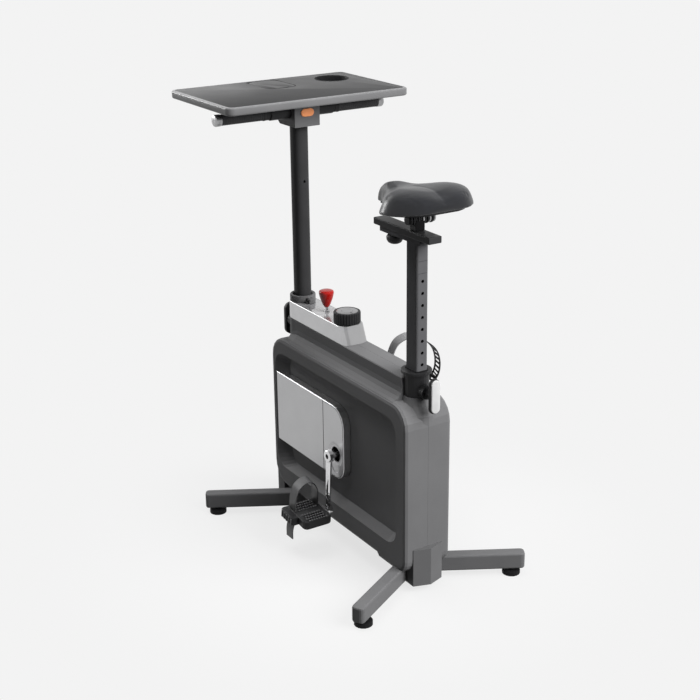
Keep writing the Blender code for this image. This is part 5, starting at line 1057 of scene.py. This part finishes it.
# Crank bolts in the arms' bosses
crank = {"y": -0.037, "z": 0.259, "face": 0.0905, "recess": 0.0090}


def buildCrankBolts(s):
    recess, face = s["recess"], s["face"]
    rim = face + 0.0020
    for side, hand in ((-1, "left"), (1, "right")):
        profile = [
            (recess - 0.0012, face - 0.002), (recess, face), (recess, face + 0.0012), (recess - 0.0014, rim),
            (0.0034, rim), (0.0032, face + 0.0002), (0.0005, face + 0.0002),
        ]
        mirrored = [(radius, side * height) for radius, height in profile]
        bolt = drawTurned("crankBolt." + hand, mirrored, (0, s["y"], s["z"]), "X", 32)
        settle(bolt, "crank", "bright_steel", look="black_steel")


buildCrankBolts(crank)

# Saddle clamp: a row of round cheeks of two radii, three of them as zinc nuts
clamp = {
    "y": -0.3055, "z": 0.937, "rings": 11, "start": -0.0245, "pitch": 0.0064, "radii": (0.0120, 0.0134),
    "nuts": (5, 8, 10),
}


def buildClamp(s):
    cheeks, nuts = [], []
    for index in range(s["rings"]):
        start = s["start"] + index * s["pitch"]
        radius = s["radii"][index % 2]
        cheek = drawTurned(
            "cheek",
            [(0.004, start), (radius, start + 0.0004), (radius, start + 0.0042), (0.004, start + 0.0046)],
            (0, s["y"], s["z"]), "X", 24,
        )
        (nuts if index in s["nuts"] else cheeks).append(cheek)
    for name, parts, finish in (("clampTeeth", cheeks, "black_steel"), ("clampNuts", nuts, "zinc")):
        parts[0].name = parts[0].data.name = name
        joinInto(parts[0], parts[1:])
        settle(parts[0], "seat_beam", "black_steel", smoothAngle=30, look=finish)


buildClamp(clamp)
print("crank bolts and clamp done")

# Small fittings: the post's liner and marks, and on the crank cover a dark rim line and a dark seam line, the
# seam line being painted shade of the gap between cover and panel
fittings = {
    "postY": -0.3055, "postHalf": (0.0165, 0.023), "postCorner": 0.006, "linerZ": (0.5702, 0.5716),
    "marks": (0.8123, 0.8416), "slab": 0.0675, "seamY": 0.022, "panelZ": (0.193, 0.393), "rear": -0.078,
    "rimInset": 0.0024, "rimWidth": 0.0011,
}


def coverOutline(s, inset):
    # the crank cover's outline seen from its side: square at the seam, rounded at the rear
    points = []
    low, high = s["panelZ"]
    for radius, turnStart, z in ((0.052, 90, high - 0.052), (0.040, 180, low + 0.040)):
        middle = (s["rear"] + radius, z)
        for step in range(13):
            turn = math.radians(turnStart + 90 * step / 12)
            reach = radius - inset
            points.append((middle[0] + reach * math.cos(turn), middle[1] + reach * math.sin(turn)))
    return [(s["seamY"], high - inset)] + points + [(s["seamY"], low + inset)]


def buildFittings(s):
    halfX, halfY = s["postHalf"]
    rear, front = s["postY"] - halfY, s["postY"] + halfY
    # the liner's outside and its bore, both wider than the post by a little
    outer, bore = [
        roundedOutline(-halfX - g, halfX + g, rear - g, front + g, s["postCorner"] + g, 6)
        for g in (0.0034, 0.0003)
    ]
    low, high = s["linerZ"]
    liner = drawPlate("postLiner", outer, low, high, edge=0.0004, segments=2)
    carve(liner, [drawPlate("cutter", bore, low - 0.01, high + 0.01)])
    settle(liner, "base", "black_rubber")
    marks = []
    for z in s["marks"]:
        near, far = (-0.0115, rear - 0.0002, z - 0.0005), (0.0115, rear + 0.0006, z + 0.0005)
        marks.append(drawBlock("mark", near, far, 0.0001, 1))
    marks[0].name = marks[0].data.name = "postMarks"
    joinInto(marks[0], marks[1:])
    settle(marks[0], "seat_post", "black_steel")
    for side, hand in ((-1, "left"), (1, "right")):
        low, high = sorted((side * (s["slab"] - 0.0008), side * (s["slab"] + 0.0003)))
        line = drawPlate("rimLine." + hand, coverOutline(s, s["rimInset"]), low, high, "X")
        inner = coverOutline(s, s["rimInset"] + s["rimWidth"])
        carve(line, [drawPlate("cutter", inner, low - 0.01, high + 0.01, "X")])
        # the seam line: a dark strip of painted shade where the cover meets the panel
        near = (low, s["seamY"] - 0.0006, s["panelZ"][0] + 0.002)
        far = (high, s["seamY"] + 0.0006, s["panelZ"][1] - 0.002)
        seam = drawBlock("paintedSeamShade", near, far, 0.0001, 1)
        joinInto(line, [seam])
        settle(line, "base", "black_plastic", smoothAngle=30)


buildFittings(fittings)
print("small fittings done")
